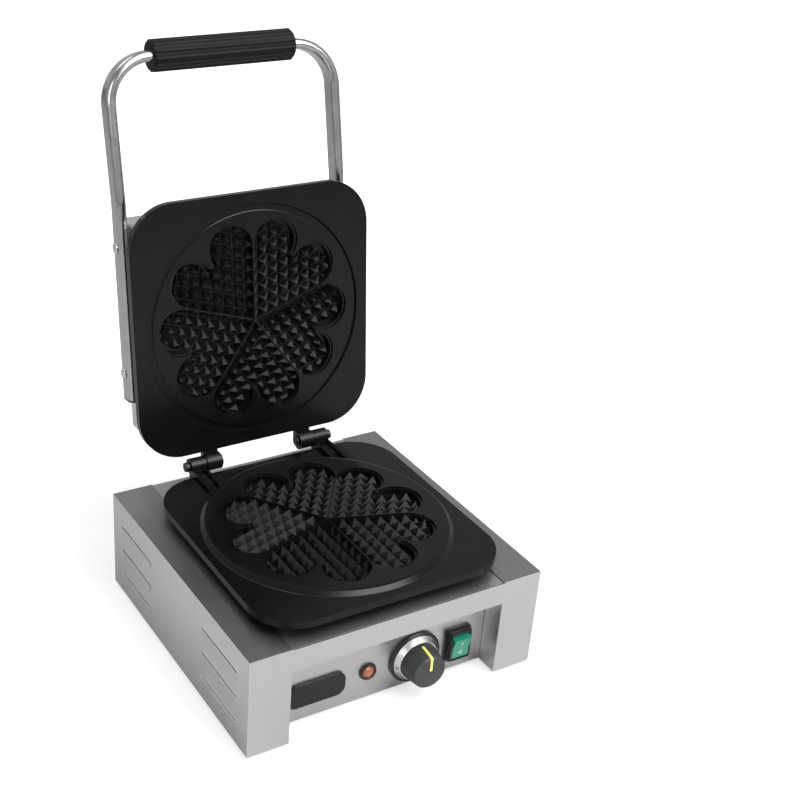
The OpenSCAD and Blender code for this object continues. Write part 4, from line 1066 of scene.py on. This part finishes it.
class WAFFLE_OT_fasteners(bpy.types.Operator):
    """Make the screws and bolts"""

    bl_idname = "waffle.fasteners"
    bl_label = "Fasteners"

    def execute(self, context):
        bright = plain_metal("Bright screw", (0.62, 0.62, 0.61), 0.24)
        coated(bright, "panel_nuts", "bottom_screws")
        # head radius, head height, shank radius and length of the cross recess
        small, bolt = (0.0038, 0.0022, 0.0020, 0.0045), (0.0052, 0.0030, 0.0030, 0)
        self.row("back_screws", "back_panel_screws", "base", lambda p: Vector((0, 1, 0)), small, bright)
        self.row("cover_screws", "lid_cover_screws", "lid", lambda p: LID_OUT, small, bright)
        self.row("handle_bolts", "handle_dome_bolts", "lid", lambda p: Vector((math.copysign(1, p.x), 0, 0)),
                 bolt, bright)
        return {"FINISHED"}

    def row(self, node, name, body, outward, sizes, material):
        """A domed screw where each of the node's screws is, each turned a little further than the last."""
        radius, height, shank, recess = sizes
        places, turns, length = [], [], 0
        for i, corners in enumerate(islands(node)):
            out = outward(corners[0])
            far = max(p.dot(out) for p in corners)
            tips = [p for p in corners if p.dot(out) > far - 0.0001]
            tip = sum(tips, Vector()) / len(tips)
            length = far - min(p.dot(out) for p in corners) - height
            places.append(tip - out * height)
            turn = facing(places[-1], out)
            turns.append((turn @ Matrix.Rotation(0.7 * i, 4, "Z")).to_euler())
        part = screw_part("screw", radius, height, shank, length, recess)
        points = point_piece(name, places, "turn", turns)
        grown(points, repeated_tree(), {"Part": part, "Size": 1.0, "Material": material}, 40.0)
        bpy.data.objects.remove(part)
        dressed(points, material, body, "screw_steel", node)


def zinc_plate():
    """The dull plating of the bottom and of the inner fixings."""
    return plain_metal("Zinc plate", (0.50, 0.50, 0.51), 0.42)


class WAFFLE_OT_hinge(bpy.types.Operator):
    """Finish the hinge pins, their clips and the parts under the plates"""

    bl_idname = "waffle.hinge"
    bl_label = "Hinge and plate fixings"

    def execute(self, context):
        dark = plain_metal("Blackened pin", (0.045, 0.045, 0.046), 0.4)
        rounded("hinge_pins", "hinge_pin_pair", 0.0006, 2, dark, "base", "zinc")
        coated(dark, "hinge_clips")
        coated(zinc_plate(), "plate_spacers", "plate_bolts", "heat_pan", "lower_clamp_disc", "upper_clamp_disc",
               "lower_clamp_nut", "upper_clamp_nut", "earth_stud", "cover_posts", "handle_nuts",
               "handle_washers", "thermostat_shaft")
        return {"FINISHED"}


class WAFFLE_OT_inside(bpy.types.Operator):
    """Finish the rubber, the bushes and the parts inside"""

    bl_idname = "waffle.inside"
    bl_label = "Feet, bushes and inner parts"

    def execute(self, context):
        coated(moulded("Black rubber", (0.02, 0.02, 0.02), 0.75, sheen=0.2), "rubber_feet")
        coated(moulded("Black bush", (0.024, 0.024, 0.025), 0.45), "cable_gland", "base_lead_bush",
               "lid_lead_bush", "switch_body")
        coated(moulded("Glazed ceramic", (0.70, 0.66, 0.56), 0.3), "thermostat_body", "safety_cutout",
               "terminal_block")
        coated(plain_metal("Drawn copper", (0.62, 0.32, 0.18), 0.3), "thermostat_bulb")
        coated(plain_metal("Heater sheath", (0.33, 0.30, 0.28), 0.45), "lower_element", "upper_element")
        felt = moulded("Mineral felt", (0.72, 0.69, 0.62), 0.9, pebble=700.0, depth=0.0003, sheen=0.4)
        coated(felt, "lower_insulation", "upper_insulation")
        return {"FINISHED"}


class WAFFLE_PT_panel(bpy.types.Panel):
    """Settings and steps of the waffle maker"""

    bl_label = "Waffle Maker"
    bl_idname = "WAFFLE_PT_panel"
    bl_space_type = "VIEW_3D"
    bl_region_type = "UI"
    bl_category = "Waffle Maker"

    def draw(self, context):
        for name in SETTINGS:
            box = self.layout.box()
            group = getattr(context.scene, name)
            for key in group.__annotations__:
                box.prop(group, key)
        for operator in OPERATORS:
            self.layout.operator(operator.bl_idname)


OPERATORS = (
    WAFFLE_OT_stage, WAFFLE_OT_shell, WAFFLE_OT_plates, WAFFLE_OT_cover, WAFFLE_OT_handle, WAFFLE_OT_badge_lamp,
    WAFFLE_OT_dial, WAFFLE_OT_switch, WAFFLE_OT_fasteners, WAFFLE_OT_hinge, WAFFLE_OT_inside)


def register():
    for group in SETTINGS.values():
        bpy.utils.register_class(group)
    for name, group in SETTINGS.items():
        setattr(bpy.types.Scene, name, PointerProperty(type=group))
    for cls in (*OPERATORS, WAFFLE_PT_panel):
        bpy.utils.register_class(cls)


def unregister():
    for cls in reversed((*OPERATORS, WAFFLE_PT_panel)):
        bpy.utils.unregister_class(cls)
    for name in SETTINGS:
        delattr(bpy.types.Scene, name)
    for group in reversed(SETTINGS.values()):
        bpy.utils.unregister_class(group)


def main():
    register()
    for operator in OPERATORS:
        step = operator.bl_idname.split(".")[1]
        if getattr(bpy.ops.waffle, step)() != {"FINISHED"}:
            raise RuntimeError(f"{operator.bl_label} did not finish")


if __name__ == "__main__":
    main()
